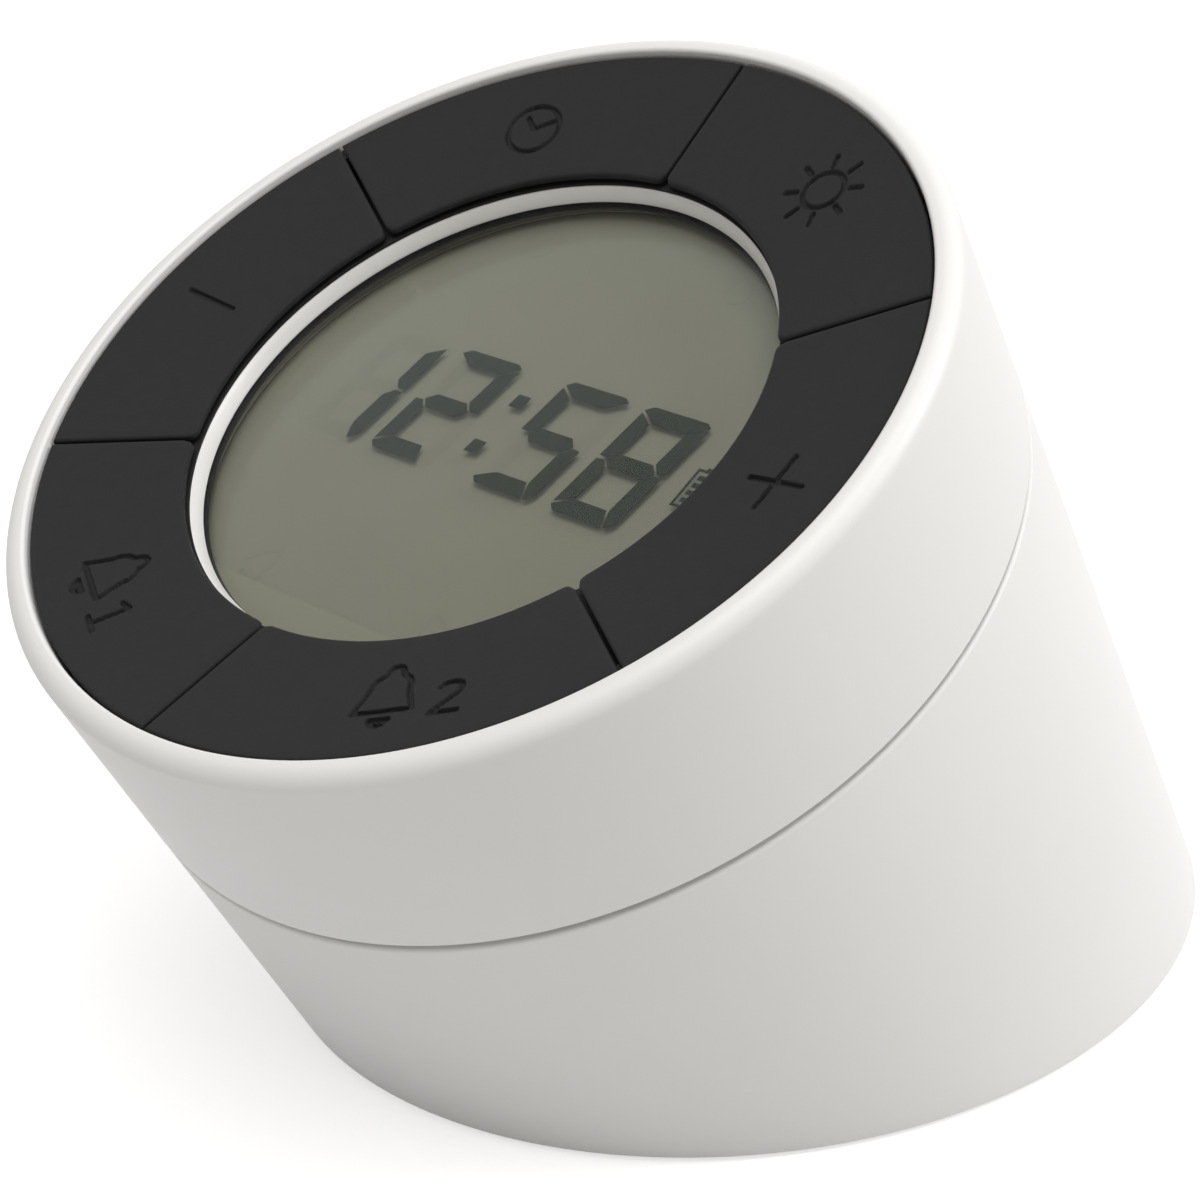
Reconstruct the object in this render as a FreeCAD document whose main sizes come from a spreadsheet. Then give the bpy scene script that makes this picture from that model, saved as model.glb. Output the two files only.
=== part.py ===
import FreeCAD, Part
import math
import os
import Sketcher
from types import SimpleNamespace
from FreeCAD import Placement, Rotation, Vector

# Bedside alarm clock: an obliquely cut cylinder that leans towards the sleeper
# Own frame: +Z up, +X to the clock's right, -Y the way the face looks,
# origin in the middle of the oval that the clock stands on, on the table
# Depths are measured down the cylinder's axis from the outer edge of the key ring

doc = FreeCAD.newDocument("bedside_clock")

# Driving sizes: millimetres, degrees and counts
SIZES = {
    # Cylinder and its lean
    "tilt": 29.0,
    "body_radius": 47.5,
    "axis_length": 82.3,
    "shell_wall": 2.5,
    # Upper housing
    "rim_height": 0.6,
    "rim_round": 1.7,
    "rim_inner_round": 0.4,
    "ledge_width": 1.8,
    "ledge_thickness": 2.0,
    "boss_radius": 3.1,
    "boss_gap": 0.6,
    "boss_rib": 2.0,
    # Parting groove between the housings
    "groove_depth": 23.6,
    "groove_gap": 0.7,
    "groove_chamfer": 0.5,
    "spigot_depth": 20.5,
    "spigot_wall": 1.8,
    "spigot_gap": 0.1,
    # Keys
    "key_count": 6,
    "key_gap": 0.3,
    "key_slit": 0.36,
    "key_width": 14.9,
    "key_dish": 2.4,
    "key_plate_depth": 3.0,
    "key_skirt_depth": 4.4,
    "key_skirt_wall": 1.2,
    "key_edge_round": 0.3,
    "key_travel": 0.5,
    "stem_radius": 2.0,
    "pin_radius": 1.0,
    "pin_angle": 17.0,
    "pin_clearance": 0.25,
    "barb_radius": 1.5,
    "barb_height": 0.9,
    # Frame under the keys
    "frame_depth": 5.2,
    "frame_thickness": 1.6,
    "frame_clearance": 0.05,
    # White wall round the display
    "bezel_top_depth": 3.8,
    "bezel_margin": 0.05,
    "bezel_slope": 0.65,
    "bezel_foot_depth": 5.2,
    "bezel_lap": 0.9,
    "bezel_flange_width": 0.7,
    "bezel_flange_depth": 4.6,
    "bezel_round": 0.3,
    # Display stack
    "window_margin": 0.4,
    "window_depth": 5.45,
    "window_thickness": 0.7,
    "glass_margin": 0.3,
    "glass_thickness": 0.6,
    "glass_joint": 0.1,
    "glass_ledge": 5.5,
    "film_thickness": 0.2,
    "guide_thickness": 2.2,
    "holder_wall": 1.3,
    "strip_width": 2.2,
    "strip_length": 20.0,
    # Main board and what it carries
    "board_depth": 11.4,
    "board_thickness": 1.6,
    "board_margin": 2.8,
    "board_notch_clearance": 0.5,
    "pillar_gap": 2.25,
    "pillar_radius": 2.4,
    "switch_width": 6.0,
    "switch_height": 3.5,
    "plunger_radius": 1.7,
    "plunger_rise": 0.5,
    "plunger_length": 1.5,
    "plunger_clearance": 0.08,
    "chip_width": 12.0,
    "chip_height": 1.6,
    "chip_drop": 18.0,
    "crystal_radius": 1.5,
    "crystal_length": 8.0,
    "crystal_across": 12.0,
    "crystal_drop": 12.0,
    "buzzer_radius": 7.0,
    "buzzer_height": 6.5,
    "buzzer_across": 22.0,
    "buzzer_rise": 8.0,
    "plug_width": 11.0,
    "plug_thickness": 5.0,
    "plug_height": 4.0,
    "ribbon_width": 8.5,
    "ribbon_thickness": 1.0,
    # Web that parts head from base, and the lamp under it
    "web_depth": 26.0,
    "web_thickness": 2.0,
    "web_ring_width": 11.0,
    "lamp_margin": 1.5,
    "lamp_led_count": 8,
    "lamp_led_inset": 5.0,
    "lamp_led_width": 3.5,
    "lamp_led_height": 0.9,
    "lamp_screw_inset": 10.0,
    # Screws
    "screw_radius": 1.0,
    "screw_head_radius": 1.9,
    "screw_head_height": 1.4,
    "screw_hole_radius": 1.2,
    "screw_bite": 6.0,
    # Foot of the base
    "foot_rise": 0.5,
    "foot_inset": 0.5,
    "foot_margin": 3.0,
    "foot_gap": 0.1,
    "plate_thickness": 3.0,
    "plate_gap": 0.15,
    "base_boss_radius": 3.5,
    "base_boss_height": 9.0,
    "base_boss_across_share": 0.589,
    "base_boss_back_share": 0.711,
    "base_boss_front_share": 0.844,
    "base_rib_share": 0.1667,
    "base_rib_height": 6.0,
    # Battery
    "cell_radius": 9.0,
    "cell_length": 65.0,
    "cell_clearance": 0.1,
    "cradle_width": 22.0,
    "cradle_floor": 1.5,
    "cradle_end": 2.0,
    "cradle_height": 9.5,
    "contact_thickness": 0.5,
    "contact_radius": 6.0,
    "cell_offset": 4.0,
    # Charging board at the back
    "charger_gap": 7.0,
    "charger_width": 22.0,
    "charger_height": 20.0,
    "charger_floor_gap": 0.475,
    "rail_thickness": 3.0,
    "rail_inset": 1.0,
    "socket_rise": 7.0,
    "socket_width": 9.0,
    "socket_thickness": 3.3,
    "socket_shell": 0.35,
    "socket_recess": 0.2,
    "socket_pit": 6.0,
    "socket_clearance": 0.3,
    "cable_radius": 1.3,
    "cable_gap": 5.0,
    "cable_plug_width": 8.0,
    "cable_plug_depth": 4.0,
    "cable_plug_height": 4.0,
    "charger_screw_drop": 4.0,
    "charger_screw_bite": 4.0,
}

sheet = doc.addObject("Spreadsheet::Sheet", "Sizes")
for row, (alias, number) in enumerate(SIZES.items(), start=1):
    sheet.set(f"A{row}", alias)
    sheet.set(f"B{row}", str(number))
    sheet.setAlias(f"B{row}", alias)
doc.recompute()


class Size:
    """A length that knows its number and the spreadsheet expression that gives it."""

    def __init__(self, value, text):
        self.value = value
        self.text = text

    def __add__(self, other):
        other = as_size(other)
        return Size(self.value + other.value, f"({self.text} + {other.text})")

    def __sub__(self, other):
        other = as_size(other)
        return Size(self.value - other.value, f"({self.text} - {other.text})")

    def __mul__(self, other):
        other = as_size(other)
        return Size(self.value * other.value, f"({self.text} * {other.text})")

    def __truediv__(self, other):
        other = as_size(other)
        return Size(self.value / other.value, f"({self.text} / {other.text})")

    def __neg__(self):
        return Size(-self.value, f"(0 - {self.text})")


def as_size(number):
    if isinstance(number, Size):
        return number
    return Size(float(number), f"({float(number):.9f})")


s = SimpleNamespace(**{alias: Size(float(sheet.get(alias)), f"Sizes.{alias}") for alias in SIZES})

# Sizes that several pieces share
inner_radius = s.body_radius - s.shell_wall
spigot_outer = inner_radius - s.spigot_gap
spigot_inner = spigot_outer - s.spigot_wall
boss_ring_radius = spigot_inner - s.boss_gap - s.boss_radius
key_outer_radius = inner_radius - s.key_gap
key_inner_radius = key_outer_radius - s.key_width
stem_ring_radius = (key_inner_radius + key_outer_radius) / 2
bezel_top_radius = key_inner_radius - s.bezel_margin
bezel_foot_radius = bezel_top_radius - s.bezel_slope
bezel_outer_radius = key_inner_radius + s.bezel_lap
bezel_flange_radius = bezel_outer_radius + s.bezel_flange_width
window_radius = bezel_outer_radius - s.window_margin
glass_radius = window_radius - s.glass_margin
glass_flat = glass_radius - s.glass_ledge
holder_inner = glass_radius + s.frame_clearance
holder_outer = holder_inner + s.holder_wall
pillar_ring_radius = holder_outer + s.pillar_gap + s.pillar_radius
board_radius = inner_radius - s.board_margin
lamp_board_radius = boss_ring_radius - s.screw_head_radius - s.lamp_margin
lamp_led_ring = lamp_board_radius - s.lamp_led_inset
lamp_screw_ring = lamp_board_radius - s.lamp_screw_inset
web_hole_radius = lamp_screw_ring - s.web_ring_width
ledge_depth = s.frame_depth + s.frame_thickness
board_under = s.board_depth + s.board_thickness
head_bottom = s.groove_depth - s.groove_gap / 2
base_top = s.groove_depth + s.groove_gap / 2
web_under = s.web_depth + s.web_thickness
window_under = s.window_depth + s.window_thickness
front_glass_depth = window_under + s.frame_clearance
back_glass_depth = front_glass_depth + s.glass_thickness + s.glass_joint
film_depth = back_glass_depth + s.glass_thickness
guide_depth = film_depth + s.film_thickness
switch_depth = s.board_depth - s.switch_height
plunger_depth = switch_depth - s.plunger_rise
lamp_board_under = web_under + s.board_thickness
plate_top = s.foot_rise + s.plate_thickness
lean_slope = Size(math.tan(math.radians(s.tilt.value)), "tan(Sizes.tilt * 1 deg)")
lean_cosine = Size(math.cos(math.radians(s.tilt.value)), "cos(Sizes.tilt * 1 deg)")
charger_offset = inner_radius - s.charger_gap
cable_offset = charger_offset - s.cable_gap
charger_foot = (charger_offset - s.board_thickness) * lean_slope - plate_top / lean_cosine
charger_bottom_depth = s.axis_length + charger_foot - s.charger_floor_gap
charger_top_depth = charger_bottom_depth - s.charger_height
charger_screw_depth = charger_top_depth + s.charger_screw_drop
socket_depth = charger_bottom_depth - s.socket_rise

# Places: the face frame leans by the tilt and has its origin in the middle of the key ring
lean = Rotation(Vector(1, 0, 0), s.tilt.value)
face = Placement(lean.multVec(Vector(0, 0, s.axis_length.value)), lean)
ORIGIN = Placement()
HEAD_BOSS_ANGLES = (90, 210, 330)
PILLAR_ANGLES = (30, 150, 270)
KEY_NAMES = {
    "plus_key": 0,
    "light_key": 60,
    "time_key": 120,
    "minus_key": 180,
    "alarm_one_key": 240,
    "alarm_two_key": 300,
}

pieces = []


def keep(piece, place=None):
    """Lists a finished sub-part for writing under its label, and puts it in its place."""
    if place:
        piece.Placement = place
    pieces.append(piece)


def fail(message):
    raise RuntimeError(message)


def polar(radius, angle):
    turn = math.radians(angle)
    return radius * math.cos(turn), radius * math.sin(turn)


def face_point(x, v, depth):
    """The place of a point given across the face, up the face and down the axis."""
    return face * Placement(Vector(x, v, -depth), Rotation())


def level(height):
    """A sketch plane parallel to the table, seen from the leaning frame."""
    return face.inverse() * Placement(Vector(0, 0, height), Rotation())


# Sketches and features

def new_body(label):
    return doc.addObject("PartDesign::Body", label)


def new_sketch(body, name, role="XY_Plane", offset=ORIGIN):
    sketch = body.newObject("Sketcher::SketchObject", f"{body.Name}_{name}")
    plane = [item for item in body.Origin.OriginFeatures if item.Role == role][0]
    sketch.AttachmentSupport = [(plane, "")]
    sketch.MapMode = "FlatFace"
    sketch.AttachmentOffset = offset
    return sketch


def bind(sketch, kind, item, point, length):
    """Ties one coordinate of a sketch point to its size."""
    rule = Sketcher.Constraint(kind, -1, 1, item, point, length.value)
    number = sketch.addConstraint(rule)
    sketch.setExpression(f"Constraints[{number}]", length.text)


def draw_outline(sketch, corners):
    """A closed outline of straight lines through the corners."""
    corners = [(as_size(x), as_size(y)) for x, y in corners]
    spots = [Vector(x.value, y.value, 0) for x, y in corners]
    first = sketch.GeometryCount
    count = len(spots)
    for index in range(count):
        line = Part.LineSegment(spots[index], spots[(index + 1) % count])
        sketch.addGeometry(line, False)
    for index in range(count):
        following = first + (index + 1) % count
        sketch.addConstraint(Sketcher.Constraint("Coincident", first + index, 2, following, 1))
    for index, (x, y) in enumerate(corners):
        bind(sketch, "DistanceX", first + index, 1, x)
        bind(sketch, "DistanceY", first + index, 1, y)


def draw_circle(sketch, x, y, radius):
    x = as_size(x)
    y = as_size(y)
    circle = Part.Circle(Vector(x.value, y.value, 0), Vector(0, 0, 1), radius.value)
    index = sketch.addGeometry(circle, False)
    number = sketch.addConstraint(Sketcher.Constraint("Radius", index, radius.value))
    sketch.setExpression(f"Constraints[{number}]", radius.text)
    bind(sketch, "DistanceX", index, 3, x)
    bind(sketch, "DistanceY", index, 3, y)


def at_depth(depth):
    return Placement(Vector(0, 0, -depth.value), Rotation())


def grow(body, sketch, length, upward=False):
    """Pads below the sketch, or above it."""
    pad = body.newObject("PartDesign::Pad", sketch.Name + "_pad")
    pad.Profile = sketch
    pad.Reversed = not upward
    pad.setExpression("Length", as_size(length).text)
    doc.recompute()
    return pad


def carve(body, sketch, length, upward=False):
    """Cuts below the sketch, or above it, and checks that it did cut."""
    before = body.Shape.Volume
    pocket = body.newObject("PartDesign::Pocket", sketch.Name + "_pocket")
    pocket.Profile = sketch
    pocket.Reversed = upward
    pocket.setExpression("Length", as_size(length).text)
    doc.recompute()
    if body.Shape.Volume > before - 0.01:
        fail(f"{pocket.Name} cuts nothing")
    return pocket


def revolved(body, corners, name="profile"):
    """A ring turned about the axis from its section, corners as radius and height."""
    sketch = new_sketch(body, name, "XZ_Plane")
    draw_outline(sketch, corners)
    ring = body.newObject("PartDesign::Revolution", f"{body.Name}_{name}_turn")
    ring.Profile = sketch
    ring.ReferenceAxis = (sketch, ["V_Axis"])
    ring.Angle = 360
    doc.recompute()
    return ring


def ring_edges(feature, radius, height):
    """Names of the round edges of that radius at that height in the body's own frame."""
    names = []
    for index, edge in enumerate(feature.Shape.Edges, start=1):
        curve = edge.Curve
        if not isinstance(curve, Part.Circle):
            continue
        if abs(curve.Radius - radius.value) < 0.01 and abs(curve.Center.z - height.value) < 0.01:
            names.append(f"Edge{index}")
    if not names:
        fail(f"no edge of radius {radius.value} at {height.value}")
    return names


def dressed(body, kind, base, edges, amount):
    """A fillet or a chamfer on named edges of the feature before it."""
    feature = body.newObject(f"PartDesign::{kind}", f"{base.Name}_{kind.lower()}")
    feature.Base = (base, edges)
    feature.setExpression("Radius" if kind == "Fillet" else "Size", amount.text)
    doc.recompute()
    return feature


# Part primitives, bound to the sheet

def cylinder(name, radius, height, place=ORIGIN):
    rod = doc.addObject("Part::Cylinder", name)
    rod.setExpression("Radius", as_size(radius).text)
    rod.setExpression("Height", as_size(height).text)
    rod.Placement = place
    return rod


def box(name, length, width, height, place=ORIGIN):
    """A block that is centred across its foot, with its foot at the place."""
    block = doc.addObject("Part::Box", name)
    sizes = (as_size(length), as_size(width), as_size(height))
    for side, size in zip(("Length", "Width", "Height"), sizes):
        block.setExpression(side, size.text)
    corner = Placement(Vector(-sizes[0].value / 2, -sizes[1].value / 2, 0), Rotation())
    block.Placement = place * corner
    return block


def cut(name, base, tool):
    result = doc.addObject("Part::Cut", name)
    result.Base = base
    result.Tool = tool
    return result


def joined(name, shapes):
    result = doc.addObject("Part::MultiFuse", name)
    result.Shapes = shapes
    return result


def group(name, shapes):
    """Separate solids that share one node."""
    result = doc.addObject("Part::Compound", name)
    result.Links = shapes
    return result


def screw(name, length, place):
    """A round-headed screw whose shank points up from the underside of its head."""
    shank = cylinder(name + "_shank", s.screw_radius, length)
    head_place = Placement(Vector(0, 0, -s.screw_head_height.value), Rotation())
    head = cylinder(name + "_head", s.screw_head_radius, s.screw_head_height, head_place)
    whole = joined(name, [shank, head])
    whole.Placement = place
    return whole


# Upper housing: rim, ledge for the key frame and three screw bosses

def make_head_shell():
    body = new_body("head_shell")
    ring = revolved(body, [
        (inner_radius, s.rim_height),
        (s.body_radius, s.rim_height),
        (s.body_radius, -head_bottom),
        (inner_radius, -head_bottom),
        (inner_radius, -(ledge_depth + s.ledge_thickness)),
        (inner_radius - s.ledge_width, -(ledge_depth + s.ledge_thickness)),
        (inner_radius - s.ledge_width, -ledge_depth),
        (inner_radius, -ledge_depth),
    ])
    rim = dressed(body, "Fillet", ring, ring_edges(ring, s.body_radius, s.rim_height), s.rim_round)
    lip = dressed(body, "Fillet", rim, ring_edges(rim, inner_radius, s.rim_height), s.rim_inner_round)
    dressed(body, "Chamfer", lip, ring_edges(lip, s.body_radius, -head_bottom), s.groove_chamfer / 2)
    bosses = new_sketch(body, "bosses", offset=at_depth(ledge_depth))
    for angle in HEAD_BOSS_ANGLES:
        draw_circle(bosses, *polar(boss_ring_radius, angle), s.boss_radius)
    grow(body, bosses, s.web_depth - ledge_depth)
    ribs = new_sketch(body, "ribs", offset=at_depth(ledge_depth))
    rib_end = inner_radius + s.shell_wall / 4
    for angle in HEAD_BOSS_ANGLES:
        side_x, side_y = polar(s.boss_rib / 2, angle + 90)
        near_x, near_y = polar(boss_ring_radius, angle)
        far_x, far_y = polar(rib_end, angle)
        draw_outline(ribs, [
            (near_x + side_x, near_y + side_y),
            (near_x - side_x, near_y - side_y),
            (far_x - side_x, far_y - side_y),
            (far_x + side_x, far_y + side_y),
        ])
    grow(body, ribs, s.spigot_depth - ledge_depth - s.frame_clearance)
    upper_pilots = new_sketch(body, "upper_pilots", offset=at_depth(ledge_depth))
    lower_pilots = new_sketch(body, "lower_pilots", offset=at_depth(s.web_depth - s.screw_bite))
    for angle in HEAD_BOSS_ANGLES:
        spot = polar(boss_ring_radius, angle)
        draw_circle(upper_pilots, *spot, s.screw_radius)
        draw_circle(lower_pilots, *spot, s.screw_radius)
    carve(body, upper_pilots, s.screw_bite)
    carve(body, lower_pilots, s.screw_bite)
    keep(body, face)


# Key frame: ring plate with guide holes, and pillars that carry the main board

def make_key_frame():
    body = new_body("key_frame")
    revolved(body, [
        (bezel_outer_radius, -s.frame_depth),
        (inner_radius - s.frame_clearance, -s.frame_depth),
        (inner_radius - s.frame_clearance, -ledge_depth),
        (bezel_outer_radius, -ledge_depth),
    ])
    pillars = new_sketch(body, "pillars", offset=at_depth(ledge_depth))
    pilots = new_sketch(body, "pillar_pilots", offset=at_depth(s.board_depth - s.screw_bite / 2))
    for angle in PILLAR_ANGLES:
        spot = polar(pillar_ring_radius, angle)
        draw_circle(pillars, *spot, s.pillar_radius)
        draw_circle(pilots, *spot, s.screw_radius)
    grow(body, pillars, s.board_depth - ledge_depth)
    carve(body, pilots, s.screw_bite / 2)
    holes = new_sketch(body, "holes", offset=at_depth(s.frame_depth))
    for angle in KEY_NAMES.values():
        stem_hole = s.stem_radius + s.pin_clearance
        draw_circle(holes, *polar(stem_ring_radius, angle), stem_hole)
        for side in (-1, 1):
            pin_hole = s.pin_radius + s.pin_clearance
            pin_turn = angle + side * s.pin_angle.value
            draw_circle(holes, *polar(stem_ring_radius, pin_turn), pin_hole)
    for angle in HEAD_BOSS_ANGLES:
        draw_circle(holes, *polar(boss_ring_radius, angle), s.screw_radius)
    carve(body, holes, s.frame_thickness)
    sinks = new_sketch(body, "sinks", offset=at_depth(s.frame_depth))
    for angle in HEAD_BOSS_ANGLES:
        draw_circle(sinks, *polar(boss_ring_radius, angle), s.screw_head_radius)
    carve(body, sinks, s.frame_thickness / 2)
    keep(body, face)


# Keys: six dished sectors with a skirt, a stem over the switch and two barbed guide pins

def make_key(label, angle):
    body = new_body(label)
    slit_angle = math.degrees(s.key_slit.value / stem_ring_radius.value)
    section = new_sketch(body, "section", "XZ_Plane")
    draw_outline(section, [
        (key_inner_radius, -s.key_dish),
        (key_outer_radius, 0),
        (key_outer_radius, -s.key_skirt_depth),
        (key_outer_radius - s.key_skirt_wall, -s.key_skirt_depth),
        (key_outer_radius - s.key_skirt_wall, -s.key_plate_depth),
        (key_inner_radius, -s.key_plate_depth),
    ])
    cap = body.newObject("PartDesign::Revolution", f"{label}_cap")
    cap.Profile = section
    cap.ReferenceAxis = (section, ["V_Axis"])
    cap.Midplane = True
    cap.Angle = 360 / s.key_count.value - slit_angle
    doc.recompute()
    rim = ring_edges(cap, key_outer_radius, as_size(0))
    cap = dressed(body, "Fillet", cap, rim, s.key_edge_round)
    stem = new_sketch(body, "stem", offset=at_depth(s.key_plate_depth - s.key_edge_round))
    draw_circle(stem, stem_ring_radius, 0, s.stem_radius)
    grow(body, stem, plunger_depth - s.key_plate_depth + s.key_edge_round)
    pins = new_sketch(body, "pins", offset=at_depth(s.key_plate_depth - s.key_edge_round))
    barbs = new_sketch(body, "barbs", offset=at_depth(ledge_depth))
    for side in (-1, 1):
        spot = polar(stem_ring_radius, side * s.pin_angle.value)
        draw_circle(pins, *spot, s.pin_radius)
        draw_circle(barbs, *spot, s.barb_radius)
    grow(body, pins, ledge_depth - s.key_plate_depth + s.key_edge_round)
    grow(body, barbs, s.barb_height)
    keep(body, face * Placement(Vector(), Rotation(Vector(0, 0, 1), angle)))


# Tact switches under the keys: six bodies on the board, and a plunger in each

def switch_place(angle, depth):
    turn = Placement(Vector(), Rotation(Vector(0, 0, 1), angle))
    step = Placement(Vector(stem_ring_radius.value, 0, -depth.value), Rotation())
    return turn * step


def make_switches():
    bodies = []
    for name, angle in KEY_NAMES.items():
        stem = name.replace("_key", "")
        place = switch_place(angle, s.board_depth)
        block = box(f"{stem}_switch_block", s.switch_width, s.switch_width, s.switch_height, place)
        well_radius = s.plunger_radius + s.plunger_clearance
        well_depth = s.plunger_length + s.key_travel - s.plunger_rise + s.plunger_clearance
        well_place = switch_place(angle, switch_depth + well_depth)
        well = cylinder(f"{stem}_switch_well", well_radius, well_depth + 1, well_place)
        bodies.append(cut(f"{stem}_switch", block, well))
        plunger_place = switch_place(angle, plunger_depth + s.plunger_length)
        plunger = cylinder(f"{stem}_plunger", s.plunger_radius, s.plunger_length)
        keep(plunger, face * plunger_place)
    keep(group("key_switches", bodies), face)


# White sloping wall that frames the display

def make_display_bezel():
    body = new_body("display_bezel")
    ring = revolved(body, [
        (bezel_foot_radius, -s.window_depth),
        (bezel_foot_radius, -s.bezel_foot_depth),
        (bezel_top_radius, -s.bezel_top_depth),
        (bezel_outer_radius, -s.bezel_top_depth),
        (bezel_outer_radius, -s.bezel_flange_depth),
        (bezel_flange_radius, -s.bezel_flange_depth),
        (bezel_flange_radius, -s.frame_depth),
        (bezel_outer_radius - s.frame_clearance, -s.frame_depth),
        (bezel_outer_radius - s.frame_clearance, -s.window_depth),
    ])
    top = ring_edges(ring, bezel_top_radius, -s.bezel_top_depth)
    dressed(body, "Fillet", ring, top, s.bezel_round)
    keep(body, face)


# Display: clear window, two glass plates, film, light guide, holder and contact strip

def flat_disc(name, radius, thickness, depth):
    """A disc with a straight lower side, which leaves the front glass's contacts free."""
    disc = cylinder(name + "_disc", radius, thickness, at_depth(depth + thickness))
    side = box(name + "_side", radius * 2, radius, thickness * 3)
    side_v = -(glass_flat + radius / 2).value
    side.Placement.Base = Vector(-radius.value, side_v - radius.value / 2, -(depth + thickness * 2).value)
    return cut(name, disc, side)


def make_display():
    window = cylinder("display_window", window_radius, s.window_thickness)
    keep(window, face * at_depth(window_under))
    front = cylinder("lcd_front_glass", glass_radius, s.glass_thickness)
    keep(front, face * at_depth(front_glass_depth + s.glass_thickness))
    back = flat_disc("lcd_back_glass", glass_radius, s.glass_thickness, back_glass_depth)
    keep(back, face)
    film = flat_disc("lcd_reflector", glass_radius, s.film_thickness, film_depth)
    keep(film, face)
    guide = flat_disc("light_guide", glass_radius, s.guide_thickness, guide_depth)
    keep(guide, face)
    body = new_body("display_holder")
    shelf = guide_depth + s.guide_thickness
    revolved(body, [
        (holder_inner, -back_glass_depth),
        (holder_inner + s.holder_wall / 2, -back_glass_depth),
        (holder_inner + s.holder_wall / 2, -ledge_depth),
        (holder_outer, -ledge_depth),
        (holder_outer, -s.board_depth),
        (holder_inner - s.holder_wall, -s.board_depth),
        (holder_inner - s.holder_wall, -shelf),
        (holder_inner, -shelf),
    ])
    keep(body, face)
    strip_v = glass_flat + s.strip_width / 2 + s.frame_clearance
    strip_height = s.board_depth - back_glass_depth + s.glass_joint
    strip_place = face_point(0, -strip_v.value, s.board_depth.value)
    keep(box("contact_strip", s.strip_length, s.strip_width, strip_height, strip_place))


# Main board with its chip, crystal, buzzer and plug, hung from the pillars of the key frame

def make_main_board():
    body = new_body("main_board")
    disc = new_sketch(body, "disc", offset=at_depth(s.board_depth))
    draw_circle(disc, 0, 0, board_radius)
    grow(body, disc, s.board_thickness)
    openings = new_sketch(body, "openings", offset=at_depth(s.board_depth))
    for angle in HEAD_BOSS_ANGLES:
        notch_radius = s.boss_radius + s.board_notch_clearance
        draw_circle(openings, *polar(boss_ring_radius, angle), notch_radius)
    for angle in PILLAR_ANGLES:
        draw_circle(openings, *polar(pillar_ring_radius, angle), s.screw_hole_radius)
    carve(body, openings, s.board_thickness)
    keep(body, face)
    chip_place = face_point(0, -s.chip_drop.value, (board_under + s.chip_height).value)
    keep(box("clock_chip", s.chip_width, s.chip_width, s.chip_height, chip_place))
    can_depth = board_under + s.crystal_radius
    can_turn = Placement(Vector(), Rotation(Vector(0, 1, 0), 90))
    can_place = face_point(s.crystal_across.value, -s.crystal_drop.value, can_depth.value) * can_turn
    keep(cylinder("quartz_crystal", s.crystal_radius, s.crystal_length, can_place))
    buzzer_depth = board_under + s.buzzer_height
    buzzer_place = face_point(-s.buzzer_across.value, s.buzzer_rise.value, buzzer_depth.value)
    keep(cylinder("alarm_buzzer", s.buzzer_radius, s.buzzer_height, buzzer_place))
    plug_place = face_point(0, 0, (board_under + s.plug_height).value)
    keep(box("board_plug", s.plug_width, s.plug_thickness, s.plug_height, plug_place))
    lamp_plug_place = face_point(0, 0, web_under.value)
    keep(box("lamp_plug", s.plug_width, s.plug_thickness, s.plug_height, lamp_plug_place))
    ribbon_end = web_under - s.plug_height
    ribbon_length = ribbon_end - board_under - s.plug_height
    ribbon_place = face_point(0, 0, ribbon_end.value)
    keep(box("ribbon_cable", s.ribbon_width, s.ribbon_thickness, ribbon_length, ribbon_place))


# Screws in the head, three of each

def make_head_screws():
    sets = {
        "frame_screws": (boss_ring_radius, HEAD_BOSS_ANGLES, s.frame_depth + s.frame_thickness / 2,
                         s.frame_thickness / 2 + s.screw_bite, True),
        "board_screws": (pillar_ring_radius, PILLAR_ANGLES, board_under,
                         s.board_thickness + s.screw_bite / 2, False),
        "joint_screws": (boss_ring_radius, HEAD_BOSS_ANGLES, web_under,
                         s.web_thickness + s.screw_bite, False),
        "lamp_screws": (lamp_screw_ring, PILLAR_ANGLES, lamp_board_under,
                        s.board_thickness + s.web_thickness, False),
    }
    for label, (ring, angles, depth, length, downward) in sets.items():
        turn = Placement(Vector(), Rotation(Vector(1, 0, 0), 180 if downward else 0))
        screws = []
        for angle in angles:
            x, v = polar(ring.value, angle)
            spot = Placement(Vector(x, v, -depth.value), Rotation()) * turn
            screws.append(screw(f"{label}_{angle}", length - s.frame_clearance, spot))
        keep(group(label, screws), face)


# Lower housing: spigot and web at the top, oblique foot, bosses for the base plate,
# rails for the charging board and a slot for its socket

def base_boss_spots():
    across = (inner_radius * s.base_boss_across_share).value
    back = (inner_radius * s.base_boss_back_share).value
    front = (inner_radius * s.base_boss_front_share).value
    return [(side * across, y) for y in (back, -front) for side in (-1, 1)]


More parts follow.
